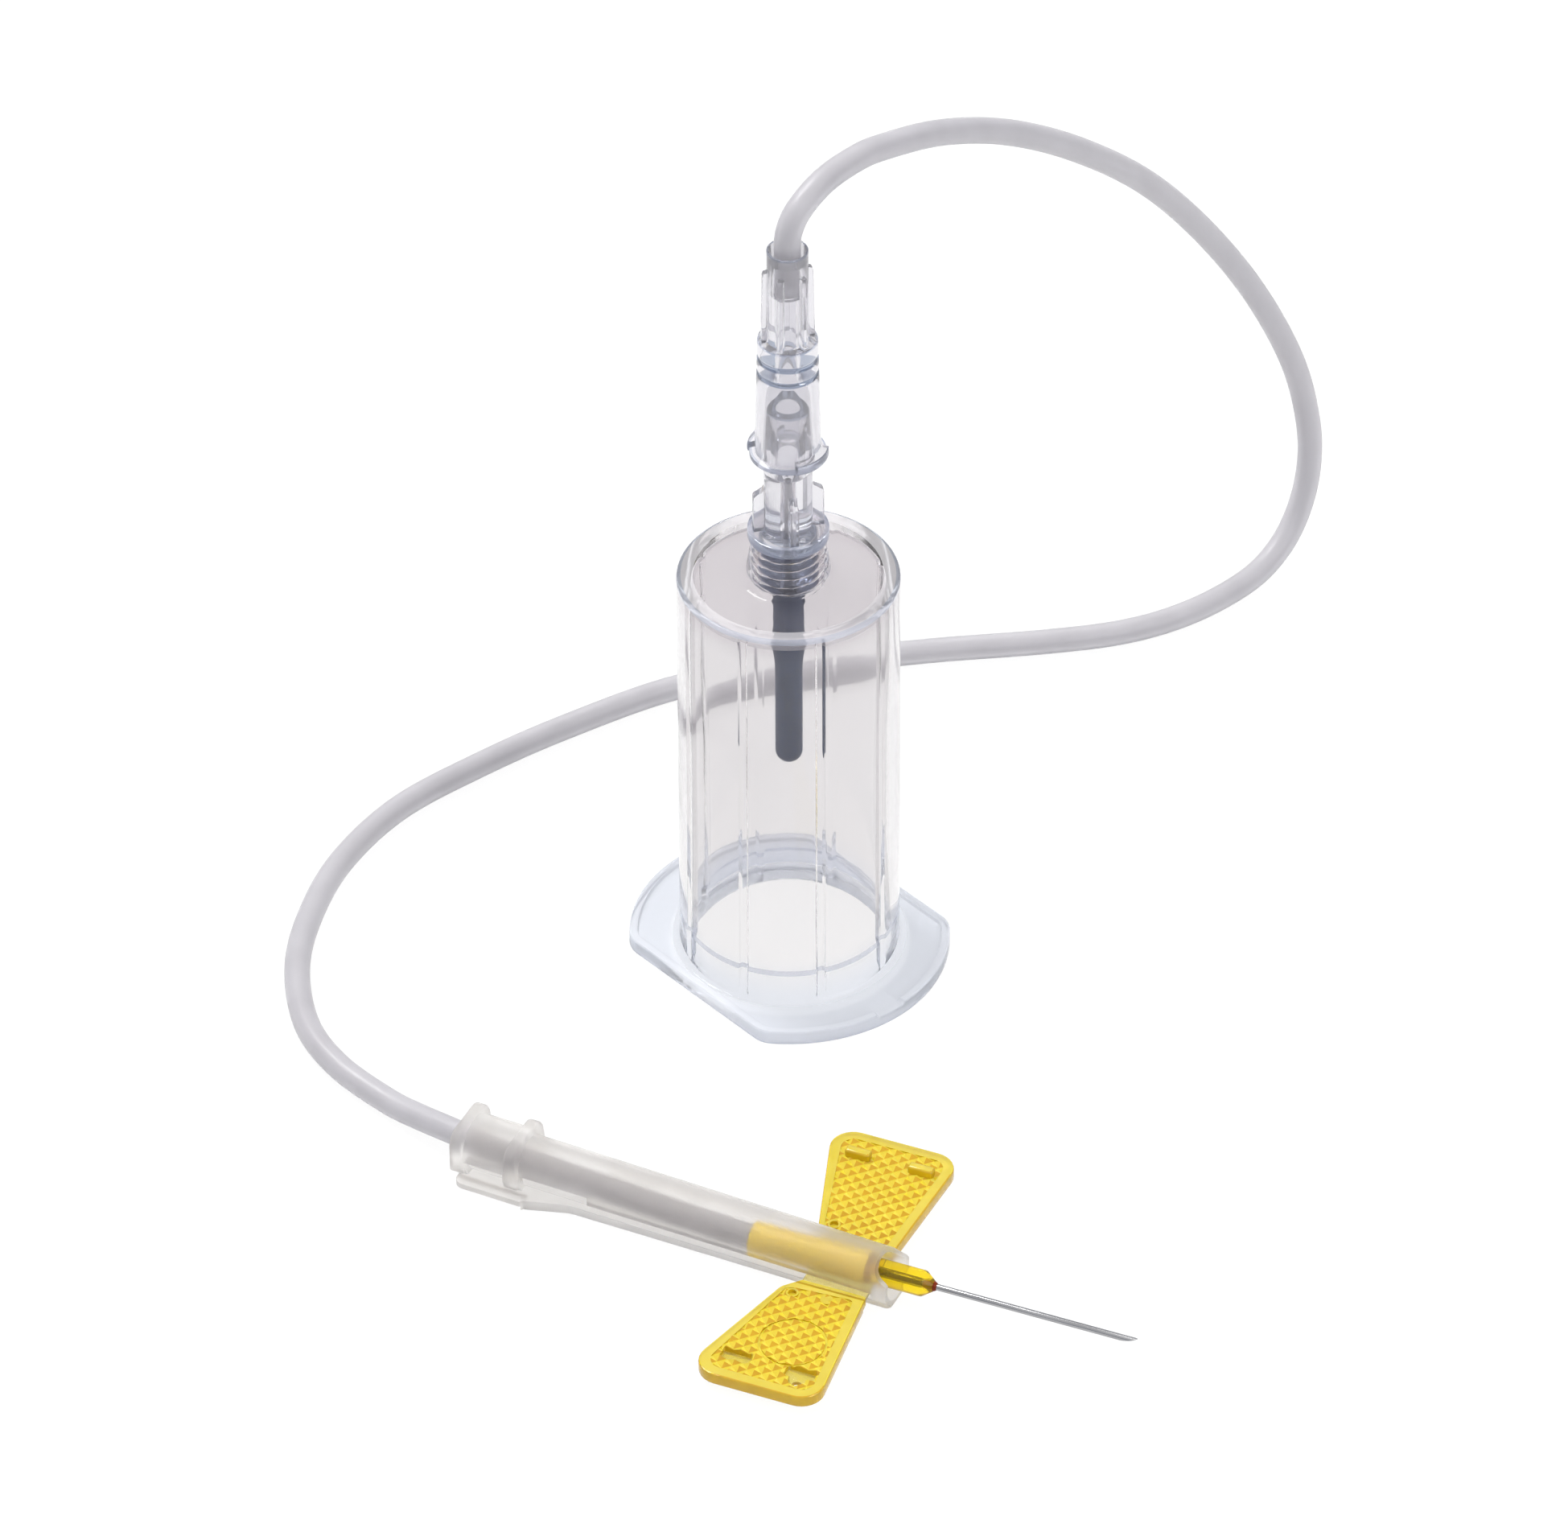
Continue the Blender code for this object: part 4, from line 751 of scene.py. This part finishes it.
ROUTE = (
    (0.0, 0.0, 0.0796), (0.0, 0.0, 0.0820), (0.0, 0.0, 0.0844), (0.0001, 0.0001, 0.0860),
    (0.0010, 0.0012, 0.0878), (0.0033, 0.0039, 0.0892), (0.0062, 0.0073, 0.0893),
    (0.0089, 0.0105, 0.0885), (0.0146, 0.0172, 0.0855), (0.0210, 0.0247, 0.0803),
    (0.0279, 0.0328, 0.0727), (0.0351, 0.0412, 0.0629), (0.0414, 0.0487, 0.0517),
    (0.0472, 0.0555, 0.0392), (0.0517, 0.0607, 0.0268), (0.0538, 0.0632, 0.0172),
    (0.0541, 0.0633, 0.0108), (0.0530, 0.0620, 0.0058), (0.0508, 0.0594, 0.0028),
    (0.0474, 0.0559, 0.0015), (0.0416, 0.0512, 0.00134), (0.0349, 0.0480, 0.00134),
    (0.0265, 0.0463, 0.00134), (0.0141, 0.0448, 0.00134), (0.0015, 0.0425, 0.00134),
    (-0.0111, 0.0391, 0.00134), (-0.0226, 0.0326, 0.00134), (-0.0316, 0.0262, 0.00134),
    (-0.0393, 0.0195, 0.00134), (-0.0446, 0.0115, 0.00134), (-0.0474, 0.0035, 0.00134),
    (-0.0486, -0.0050, 0.00134), (-0.0474, -0.0138, 0.00134), (-0.0441, -0.0202, 0.00134),
    (-0.0391, -0.0255, 0.00134), (-0.0358, -0.0286, 0.0019), (-0.0322, -0.0317, 0.0026),
    (-0.02889, -0.03417, 0.00275), (-0.02178, -0.03789, 0.00275), (-0.01295, -0.04260, 0.00275),
    (-0.00579, -0.04621, 0.00275), (-0.00302, -0.04736, 0.00275), (0.00013, -0.04866, 0.00275),
)


TUBE_STEP, TUBE_AROUND = 0.0008, 40
TUBE_RADIUS, TUBE_BORE = 0.00128, 0.00062


def smooth_route(points, step):
    """Points at even steps along a smooth curve through the route's points, and its length."""
    nodes = [np.array(p, float) for p in points]
    padded = [nodes[0] * 2 - nodes[1]] + nodes + [nodes[-1] * 2 - nodes[-2]]
    dense = []
    for i in range(1, len(padded) - 2):
        a, b, c, d = padded[i - 1:i + 3]
        for t in np.arange(12) / 12:
            dense.append(0.5 * (2 * b + (c - a) * t + (2 * a - 5 * b + 4 * c - d) * t ** 2
                                + (3 * b - a - 3 * c + d) * t ** 3))
    dense.append(nodes[-1])
    dense = np.array(dense)
    lengths = np.concatenate([[0], np.cumsum(np.linalg.norm(np.diff(dense, axis=0), axis=1))])
    even = np.linspace(0, lengths[-1], round(lengths[-1] / step) + 1)
    return np.stack([np.interp(even, lengths, dense[:, k]) for k in range(3)], axis=1), lengths[-1]


def sweep(path, radius, around):
    """Rings of a round tube along a path, without twist."""
    tangents = np.gradient(path, axis=0)
    tangents /= np.linalg.norm(tangents, axis=1)[:, None]
    side = np.cross(tangents[0], (0.3, 0.2, 0.1))
    side /= np.linalg.norm(side)
    turns = angles(around)
    rings = []
    for point, tangent in zip(path, tangents):
        side = side - tangent * (side @ tangent)
        side /= np.linalg.norm(side)
        other = np.cross(tangent, side)
        offset = np.outer(np.cos(turns), side) + np.outer(np.sin(turns), other)
        rings.append(point + radius * offset)
    return rings


def make_tubing():
    path, length = smooth_route(ROUTE, TUBE_STEP)
    path = path + np.array((AXIS_X, AXIS_Y, 0))
    outer = sweep(path, TUBE_RADIUS, TUBE_AROUND)
    inner = sweep(path, TUBE_BORE, TUBE_AROUND)
    verts, faces = grid_mesh(np.array(outer + inner[::-1]) / MM)
    tubing = finish_piece("tubing_line", verts, faces, Matrix.Identity(4), [TUBING],
                          "holder_and_needle", ["tubing"])


# Hub, needle and glue bead. Heights run along the set's axis, from the hinges towards the tip

HUB, NOSE, CHANNEL = 1.6, 1.29, 0.37
NEEDLE_RADIUS, NEEDLE_TIP, NEEDLE_BACK, NEEDLE_SLANT = 0.32, 29.4, 0.85, 2.1


def hub_part(place):
    """The nose is clearer than the hub, and the channel round the needle is dark amber."""
    if math.hypot(place.x, place.y) < 0.42 and 3.3 < place.z < 7.75:
        return AMBER
    return YELLOW_NOSE if place.z > 2.6 else YELLOW_HUB


def make_hub():
    profile = [
        (0.50, 8.8), (0.52, 8.86), (0.55, 8.86), (0.60, 8.80), (1.20, 7.98), (1.27, 7.85),
        (NOSE, 7.6), (NOSE, 5.0), (NOSE, 3.1), (1.31, 2.95), (1.56, 2.3), (HUB, 2.15), (HUB, 0.0),
        (HUB, -4.0), (HUB, -9.4), (1.56, -9.56), (1.5, -9.6), (1.42, -9.6), (1.38, -9.5),
        (1.38, -5.4), (1.3, -5.2), (0.35, -5.2), (0.3, -5.0), (0.3, 0.3), (CHANNEL, 0.4),
        (CHANNEL, 3.3), (CHANNEL, 7.7), (0.52, 8.15)
    ]
    turned_piece("hub_body", profile, SMALL_STEPS, SET @ ALONG, "wing_hub",
                 [YELLOW_HUB, YELLOW_NOSE, AMBER], hub_part)


def make_needle():
    half = NEEDLE_SLANT / 2
    slant = NEEDLE_SLANT * (1 + np.cos(angles(NEEDLE_STEPS))) / 2
    profile = [
        (0.19, NEEDLE_TIP - half - 0.6 * (slant - half)), (NEEDLE_RADIUS, NEEDLE_TIP - slant),
        (NEEDLE_RADIUS, NEEDLE_TIP - NEEDLE_SLANT - 0.1), (NEEDLE_RADIUS, NEEDLE_BACK + 0.1),
        (0.30, NEEDLE_BACK), (0.18, NEEDLE_BACK)
    ]
    turned_piece("needle_tube", profile, NEEDLE_STEPS, SET @ ALONG, "needle", [STEEL])


def make_bead():
    profile = [(0.335, 9.2), (0.37, 9.15), (0.43, 9.05), (0.49, 8.94), (0.5, 8.88)]
    profile += [(0.485, 8.8), (0.505, 8.17), (0.365, 7.75), (0.335, 7.74)]
    turned_piece("bead_glue", profile, NEEDLE_STEPS, SET @ ALONG, "glue_bead",
                 [EPOXY])


# Booleans and bevels for the outlined pieces

BEVEL_ANGLE = math.radians(35)


def prism(outline, low, high):
    """A closed prism over an anticlockwise outline of (x, y), in millimetres."""
    count = len(outline)
    verts = [(x, y, low) for x, y in outline] + [(x, y, high) for x, y in outline]
    faces = [tuple(reversed(range(count))), tuple(range(count, 2 * count))]
    faces += [(i, (i + 1) % count, count + (i + 1) % count, count + i) for i in range(count)]
    mesh = bpy.data.meshes.new("prism")
    mesh.from_pydata(verts, [], faces)
    return mesh


def brick(low, high):
    """A box between two opposite corners."""
    outline = [(low[0], low[1]), (high[0], low[1]), (high[0], high[1]), (low[0], high[1])]
    return prism(outline, low[2], high[2])


def rounded(mesh, width, segments):
    """The mesh with a bevel on the edges that turn by more than BEVEL_ANGLE."""
    work = bmesh.new()
    work.from_mesh(mesh)
    edges = [e for e in work.edges if e.is_manifold and e.calc_face_angle() > BEVEL_ANGLE]
    bmesh.ops.bevel(work, geom=edges, offset=width, segments=segments, affect="EDGES", profile=0.5)
    work.to_mesh(mesh)
    work.free()
    return mesh


def combined(mesh, tools):
    """The mesh after boolean steps, each a tool mesh and an operation."""
    base = new_object("base", mesh)
    helpers = []
    for tool, operation in tools:
        helper = new_object("tool", tool)
        helpers.append(helper)
        step = base.modifiers.new("step", "BOOLEAN")
        step.operation = operation
        step.solver = "EXACT"
        step.object = helper
    bpy.context.view_layer.update()
    graph = bpy.context.evaluated_depsgraph_get()
    result = bpy.data.meshes.new_from_object(base.evaluated_get(graph))
    for obj in [base, *helpers]:
        bpy.data.objects.remove(obj, do_unlink=True)
    return result


def moved(mesh, matrix):
    mesh.transform(matrix)
    return mesh


def rounded_outline(corners, steps=8):
    """Points of a polygon whose corners (x, y, radius) are rounded, going anticlockwise."""
    points = []
    for i, (x, y, radius) in enumerate(corners):
        here = Vector((x, y))
        back = (Vector(corners[i - 1][:2]) - here).normalized()
        ahead = (Vector(corners[(i + 1) % len(corners)][:2]) - here).normalized()
        if radius == 0:
            points.append((x, y))
            continue
        half = back.angle(ahead) / 2
        centre = here + (back + ahead).normalized() * (radius / math.sin(half))
        first = here + back * radius / math.tan(half) - centre
        last = here + ahead * radius / math.tan(half) - centre
        turn = first.angle_signed(last)
        for step in range(steps + 1):
            points.append(tuple(centre + Matrix.Rotation(-turn * step / steps, 2) @ first))
    return points


# Wings, each with its hinge web, in one soft piece that bends at the hinge. The far wing has pegs
# that press into the near wing's pits

HINGE, BEND_HALF = 4.0, 0.5
BEND_CUTS = (3.55, 3.7, 3.85, 4.0, 4.15, 4.3, 4.45)
WING_LOW, WING_TOP = 0.9, 2.15
WING_ROOT, WING_END, WING_CORNER = 3.12, 18.6, 2.3
PANEL = 0.16
WEB_LOW, WEB_TOP = 1.72, 2.08
GROOVE_IN, GROOVE_MIDDLE, GROOVE_OUT = 3.56, 3.68, 3.8
PIT_MIDDLES = (-5.0, 1.5)
PIT_DEPTH = 0.85
HOLE = (1.5, 16.2)
RING, RING_OUT, RING_IN = (-0.8, 11.6), 3.3, 3.08
DIMPLE, SECOND_DIMPLE, DIMPLE_RADIUS = (-3.45, 5.25), (-0.05, 4.95), 0.62
PYRAMIDS = 22
PYRAMID_X, PYRAMID_Y = 0.76, 0.725
FIELD_X, FIELD_Y, FIELD_LOW = -10.2, 3.6, 1.2
SIDE_TILT, FACET_TILT = 0.85, 0.97  # how far up a side and a pyramid's facet face at most

# The wing and its panel from above, as (along, outwards, corner radius), from the root outwards
WING = [(-3.3, WING_ROOT, 0.35), (3.28, WING_ROOT, 0.35), (4.5, WING_END, WING_CORNER),
        (-9.05, WING_END, WING_CORNER), (-4.85, 4.75, 1.6)]
WING_PANEL = [(-4.2, 4.55, 1.2), (2.35, 4.1, 0.5), (3.4, 17.5, 1.3), (-7.5, 17.5, 1.3)]


def pyramid_field():
    """A slab whose top is a field of small staggered pyramids, their corners along the wing."""
    verts = []
    for j in range(PYRAMIDS):
        for i in range(PYRAMIDS):
            height = WING_TOP + 0.1 if (i + j) % 2 == 0 else WING_TOP - PANEL
            verts.append((FIELD_X + i * PYRAMID_X, FIELD_Y + j * PYRAMID_Y, height))
    verts += [(x, y, FIELD_LOW) for x, y, _ in verts]
    total = PYRAMIDS * PYRAMIDS
    last = PYRAMIDS - 1
    faces = []
    for j in range(last):
        for i in range(last):
            k = j * PYRAMIDS + i
            a, b, c, d = k, k + 1, k + PYRAMIDS + 1, k + PYRAMIDS
            faces += [(a, b, d), (b, c, d)] if (i + j) % 2 == 0 else [(a, b, c), (a, c, d)]
            faces.append((total + a, total + d, total + c, total + b))
    rim = list(range(PYRAMIDS))
    rim += [j * PYRAMIDS + last for j in range(1, PYRAMIDS)]
    rim += [last * PYRAMIDS + i for i in range(last - 1, -1, -1)]
    rim += [j * PYRAMIDS for j in range(last - 1, 0, -1)]
    for a, b in zip(rim, rim[1:] + rim[:1]):
        faces.append((b, a, total + a, total + b))
    mesh = bpy.data.meshes.new("pyramids")
    mesh.from_pydata(verts, [], faces)
    return mesh


def disc(middle, radius, low, high, steps=32):
    return prism(fillet(*middle, radius, 0, 360, steps)[:-1], low, high)


def wing_part(place, normal):
    """Which of the WINGS a face has: the ring and the edges in painted shade, the thin web and the
    pits paler with painted light, facets in painted shade by their facing, or the flat border.
    """
    ring = math.hypot(place.x - RING[0], place.y + RING[1])
    # Painted shade in the near wing's ring groove
    if place.y < 0 and place.z > 1.8 and abs(ring - (RING_OUT + RING_IN) / 2) < 0.1:
        return ORANGE_SHADE
    # The thin web, paler, with painted light over the sheath's shadow
    if abs(place.y) < 3.1:
        return THIN_PAINTED_LIGHT
    # Painted light in the pits, over their shade
    in_pit = 14.5 < -place.y < 16.8 and 1.25 < place.z < WING_TOP - 0.3
    if in_pit and min(abs(place.x - middle) for middle in PIT_MIDDLES) < 1.6:
        return THIN_PAINTED_LIGHT
    # Painted shade on the sides
    if abs(normal.z) < SIDE_TILT:
        return ORANGE_SHADE
    # Painted shade on the pyramids' facets facing -y, away from the light, deepest where they face
    # +x
    if SIDE_TILT < normal.z < FACET_TILT and place.z > 1.9 and abs(place.y) > HINGE:
        if normal.y < 0:
            return FACET_SHADE if normal.x > 0 else FACET_HALF_SHADE
        return YELLOW
    if normal.z > FACET_TILT and (place.z > WING_TOP - 0.05 or 1.2 < place.z < 1.5):
        return PALE
    return YELLOW


def panel_tools():
    """The textured panel, the step under the root and the groove beside the web."""
    panel = rounded_outline(WING_PANEL)
    recess = prism(panel, WING_TOP - PANEL - 0.02, WING_TOP + 1)
    texture = combined(pyramid_field(), [(prism(panel, 1.3, WING_TOP + 1), "INTERSECT")])
    groove = [(GROOVE_IN, WING_TOP + 0.3), (GROOVE_IN, WING_TOP), (GROOVE_MIDDLE, WING_TOP - 0.16),
              (GROOVE_OUT, WING_TOP), (GROOVE_OUT, WING_TOP + 0.3)]
    return [(recess, "DIFFERENCE"), (texture, "UNION"),
            (brick((-12, 2.5, 0.0), (8, 4.25, 1.3)), "DIFFERENCE"),
            (moved(prism(groove, -12, 8), ACROSS), "DIFFERENCE"),
            (brick((-3.25, 0.9, WEB_LOW), (3.24, 3.4, WEB_TOP)), "UNION")]


def peg_tools():
    pegs = [brick((x - 1.3, 14.8, 1.6), (x + 1.3, 15.8, WING_TOP + 0.72)) for x in PIT_MIDDLES]
    return [(rounded(peg, 0.28, 4), "UNION") for peg in pegs]


def pit_tools():
    """The near wing's pits, the hole beside one of them, the ring and a second dimple's pad."""
    floor = WING_TOP - PIT_DEPTH
    pits = [brick((x - 1.5, 14.55, floor), (x + 1.5, 16.0, WING_TOP + 2)) for x in PIT_MIDDLES]
    tools = [(rounded(pit, 0.25, 3), "DIFFERENCE") for pit in pits]
    tools.append((disc(HOLE, 0.85, floor, 5), "DIFFERENCE"))
    tools.append((disc(HOLE, 0.5, 0, 5), "DIFFERENCE"))
    low, high = WING_TOP - PANEL - 0.06, WING_TOP + 1
    core = disc(RING, RING_IN, low - 1, high + 1, steps=72)
    ring = combined(disc(RING, RING_OUT, low, high, steps=72), [(core, "DIFFERENCE")])
    tools.append((ring, "DIFFERENCE"))
    tools.append((disc(SECOND_DIMPLE, DIMPLE_RADIUS, 1.5, WING_TOP - 0.02), "UNION"))
    return tools


def make_wing(name, side, node):
    """A wing and its web. The near wing, side -1, is the far wing's mirror image."""
    mesh = rounded(prism(rounded_outline(WING), WING_LOW, WING_TOP), 0.17, 3)
    tools = panel_tools() + (peg_tools() if side > 0 else pit_tools())
    tools.append((disc(DIMPLE, DIMPLE_RADIUS, 1.5, WING_TOP + 0.02), "UNION"))
    tools.append((disc(DIMPLE, 0.42, WING_TOP - 0.4, WING_TOP + 1), "DIFFERENCE"))
    mesh = combined(mesh, tools)
    work = bmesh.new()
    work.from_mesh(mesh)
    for y in BEND_CUTS:
        geom = work.verts[:] + work.edges[:] + work.faces[:]
        bmesh.ops.bisect_plane(work, geom=geom, plane_co=(0, y, 0), plane_no=(0, 1, 0), dist=0.001)
    if side < 0:
        bmesh.ops.scale(work, vec=(1, -1, 1), verts=work.verts)
        bmesh.ops.reverse_faces(work, faces=work.faces)
    work.normal_update()
    for face in work.faces:
        part = wing_part(face.calc_center_median(), face.normal)
        face.material_index = WINGS.index(part)
    work.to_mesh(mesh)
    work.free()
    wing = dress(name, mesh, SET, WINGS, None, [node])
    wing.data.set_sharp_from_angle(angle=math.radians(25))
    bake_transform(wing)


# Safety sheath. Lengths run along its slide, from its rear, which is negative, to its front

SHEATH_BACK, SHEATH_FRONT = -40.4, 5.25
SHEATH_RADIUS, SHEATH_REAR_RADIUS, SHEATH_BORE = 2.7, 2.9, 2.2
RAIL = [(-40.0, -3.9, 1.0), (-32.8, -3.9, 0.25), (-32.6, -3.6, 0.3), (-28.2, -2.2, 3.0),
        (SHEATH_FRONT, -1.6, 0.6)]
RAIL_TOP = 1.15
RIDGES, RIDGE_THICK = (-40.65, -34.9), 1.6
RIDGE_LOW, RIDGE_TOP, RIDGE_HALF = 1.7, 6.15, 3.25
SLOTS = [((-33.3, -4, RAIL_TOP), (3.69, 4, 2.35)), ((-33.3, -4, RAIL_TOP), (-26.1, 4, 3.3)),
         ((-39.05, -4, RAIL_TOP), (-34.9, 4, 3.3))]
FRONT_CURVE = [(3.6, 5.9), (3.62, 5.3), (3.72, 4.85), (3.95, 4.4), (4.25, 4.08), (4.6, 3.85),
               (5.0, 3.65), (5.25, 3.45), (5.45, 3.1), (6.0, 3.0), (6.0, 5.9)]


def widened(mesh):
    """The tube grows wider towards its rear."""
    grow = SHEATH_REAR_RADIUS / SHEATH_RADIUS - 1
    for vert in mesh.vertices:
        scale = 1 + grow * (SHEATH_FRONT - vert.co.x) / (SHEATH_FRONT - SHEATH_BACK)
        vert.co.y *= scale
        vert.co.z = AXIS_HEIGHT + (vert.co.z - AXIS_HEIGHT) * scale
    return mesh


def grip_ridge(back):
    """A ridge to push against, thinner towards its top."""
    section = [(RIDGE_HALF, RIDGE_LOW, 0.3), (RIDGE_HALF, RIDGE_TOP, 1.5),
               (-RIDGE_HALF, RIDGE_TOP, 1.5), (-RIDGE_HALF, RIDGE_LOW, 0.3)]
    ridge = moved(prism(rounded_outline(section, 12), back, back + RIDGE_THICK), ACROSS)
    for vert in ridge.vertices:
        if vert.co.x > back + RIDGE_THICK / 2:
            vert.co.x -= 0.45 * (vert.co.z - RIDGE_LOW) / (RIDGE_TOP - RIDGE_LOW)
    return rounded(ridge, 0.22, 4)


def sheath_bore():
    bore = turn_profile([(SHEATH_BORE, -42.0), (SHEATH_BORE, 6.0)], SMALL_STEPS)
    verts, faces = grid_mesh(bore, closed=False)
    tube = bpy.data.meshes.new("bore")
    tube.from_pydata([tuple(v) for v in verts], [], faces)
    return moved(tube, Matrix.Translation((0, 0, AXIS_HEIGHT)) @ LAY_DOWN)


def make_sheath():
    """The slotted tube on its rail, with two ridges and a saddle between them."""
    drop = math.degrees(math.asin((AXIS_HEIGHT - 0.4) / SHEATH_RADIUS))
    section = fillet(0, AXIS_HEIGHT, SHEATH_RADIUS, -drop, 180 + drop, 72)
    body = widened(moved(prism(section, SHEATH_BACK, SHEATH_FRONT), ACROSS))
    other_side = [(x, -y, radius) for x, y, radius in reversed(RAIL)]
    rail = rounded(prism(rounded_outline(RAIL + other_side), 0.0, RAIL_TOP), 0.12, 2)
    saddle = moved(prism(fillet(0, AXIS_HEIGHT, 3.3, -8, 188, 48), -39.85, -34.1), ACROSS)
    tools = [(rail, "UNION")] + [(grip_ridge(back), "UNION") for back in RIDGES]
    tools.append((saddle, "UNION"))
    for near, far in ((-4.6, -2.2), (2.2, 4.6)):
        tools.append((brick((-41.5, near, -0.5), (-32.75, far, 0.55)), "DIFFERENCE"))
    tools.append((sheath_bore(), "DIFFERENCE"))
    tools += [(brick(low, high), "DIFFERENCE") for low, high in SLOTS]
    upright = Matrix.Rotation(math.pi / 2, 4, "X")
    tools.append((moved(prism(FRONT_CURVE, -4, 4), upright), "DIFFERENCE"))
    sheath = dress("sheath_body", combined(body, tools), SHEATH, [FROST], "sheath",
                   ["safety_sheath"])
    bevel = sheath.modifiers.new("edges", "BEVEL")
    bevel.width = 0.08 * MM
    bevel.segments = 2
    bevel.limit_method = "ANGLE"
    bevel.angle_limit = math.radians(40)


# Stage and light. The floor is white to the camera, in gloss and through clear plastic, and plain
# to every other ray, so it doesn't flood the pieces with light from below

FLOOR_HALF, FLOOR_LOW, FLOOR_TOP = 1500, -2, -0.02


def larger(tree, first, second):
    node = tree.nodes.new("ShaderNodeMath")
    node.operation = "MAXIMUM"
    tree.links.new(first, node.inputs[0])
    tree.links.new(second, node.inputs[1])
    return node.outputs[0]


def floor_white():
    material = bpy.data.materials.new("floor_white")
    material.use_nodes = True
    tree = material.node_tree
    tree.nodes.clear()
    path = tree.nodes.new("ShaderNodeLightPath")
    seen = larger(tree, path.outputs["Is Camera Ray"], path.outputs["Is Glossy Ray"])
    either = larger(tree, seen, path.outputs["Is Transmission Ray"])
    glow = tree.nodes.new("ShaderNodeEmission")
    glow.inputs["Strength"].default_value = 0.93
    dull = tree.nodes.new("ShaderNodeBsdfDiffuse")
    dull.inputs["Color"].default_value = (0.10, 0.10, 0.10, 1)
    lit = tree.nodes.new("ShaderNodeAddShader")
    tree.links.new(glow.outputs[0], lit.inputs[0])
    tree.links.new(dull.outputs[0], lit.inputs[1])
    plain = tree.nodes.new("ShaderNodeBsdfDiffuse")
    plain.inputs["Color"].default_value = (0.8, 0.8, 0.8, 1)
    mix = tree.nodes.new("ShaderNodeMixShader")
    tree.links.new(either, mix.inputs["Fac"])
    tree.links.new(plain.outputs[0], mix.inputs[1])
    tree.links.new(lit.outputs[0], mix.inputs[2])
    out = tree.nodes.new("ShaderNodeOutputMaterial")
    tree.links.new(mix.outputs[0], out.inputs["Surface"])
    return material


def make_stage():
    mesh = brick((-FLOOR_HALF, -FLOOR_HALF, FLOOR_LOW), (FLOOR_HALF, FLOOR_HALF, FLOOR_TOP))
    mesh.transform(Matrix.Scale(MM, 4))
    mesh.materials.append(floor_white())
    new_object("floor", mesh)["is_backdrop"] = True


LIGHTS_AIM = Vector((0, 0, 0.02))


def area_light(name, place, size, power):
    data = bpy.data.lights.new(name, "AREA")
    data.shape = "DISK"
    data.size = size
    data.energy = power
    light = new_object(name, data)
    light.location = place
    light.rotation_euler = (LIGHTS_AIM - Vector(place)).to_track_quat("-Z", "Y").to_euler()


def make_world():
    """White above and dark just over the horizon, which draws the clear pieces' edges."""
    world = bpy.data.worlds.new("studio")
    world.use_nodes = True
    bpy.context.scene.world = world
    tree = world.node_tree
    sky = tree.nodes["Background"]
    place = tree.nodes.new("ShaderNodeTexCoord")
    parts = tree.nodes.new("ShaderNodeSeparateXYZ")
    tree.links.new(place.outputs["Generated"], parts.inputs[0])
    stops = [(0.0, (0.60, 0.63, 0.72)), (0.02, (0.10, 0.12, 0.17)), (0.10, (0.14, 0.16, 0.22)),
             (0.17, (0.58, 0.61, 0.70)), (0.35, (0.80, 0.82, 0.87)), (0.6, (0.97, 0.97, 0.98)),
             (0.9, (1.0, 1.0, 1.0))]
    tree.links.new(ramp(tree, parts.outputs["Z"], stops), sky.inputs["Color"])
    sky.inputs["Strength"].default_value = 0.95


make_tubing()
make_holder()
LUER_TIP = make_adapter()
make_connector(LUER_TIP)
NEEDLE_LOW = make_rear_needle(LUER_TIP)
make_sleeve(NEEDLE_LOW)
make_hub()
make_needle()
make_bead()
make_wing("wing_far", 1, "far_wing")
make_wing("wing_near", -1, "near_wing")
make_sheath()
make_stage()
make_world()
area_light("key", (-0.35, 0.35, 0.8), size=0.35, power=6.0)
area_light("fill", (0.6, -0.5, 0.5), size=0.6, power=2.5)
bpy.context.scene.view_settings.view_transform = "Standard"

boxes = {"cad": CAD_BOX, "visual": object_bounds()}
boxes = {name: [list(map(float, corner)) for corner in box] for name, box in boxes.items()}
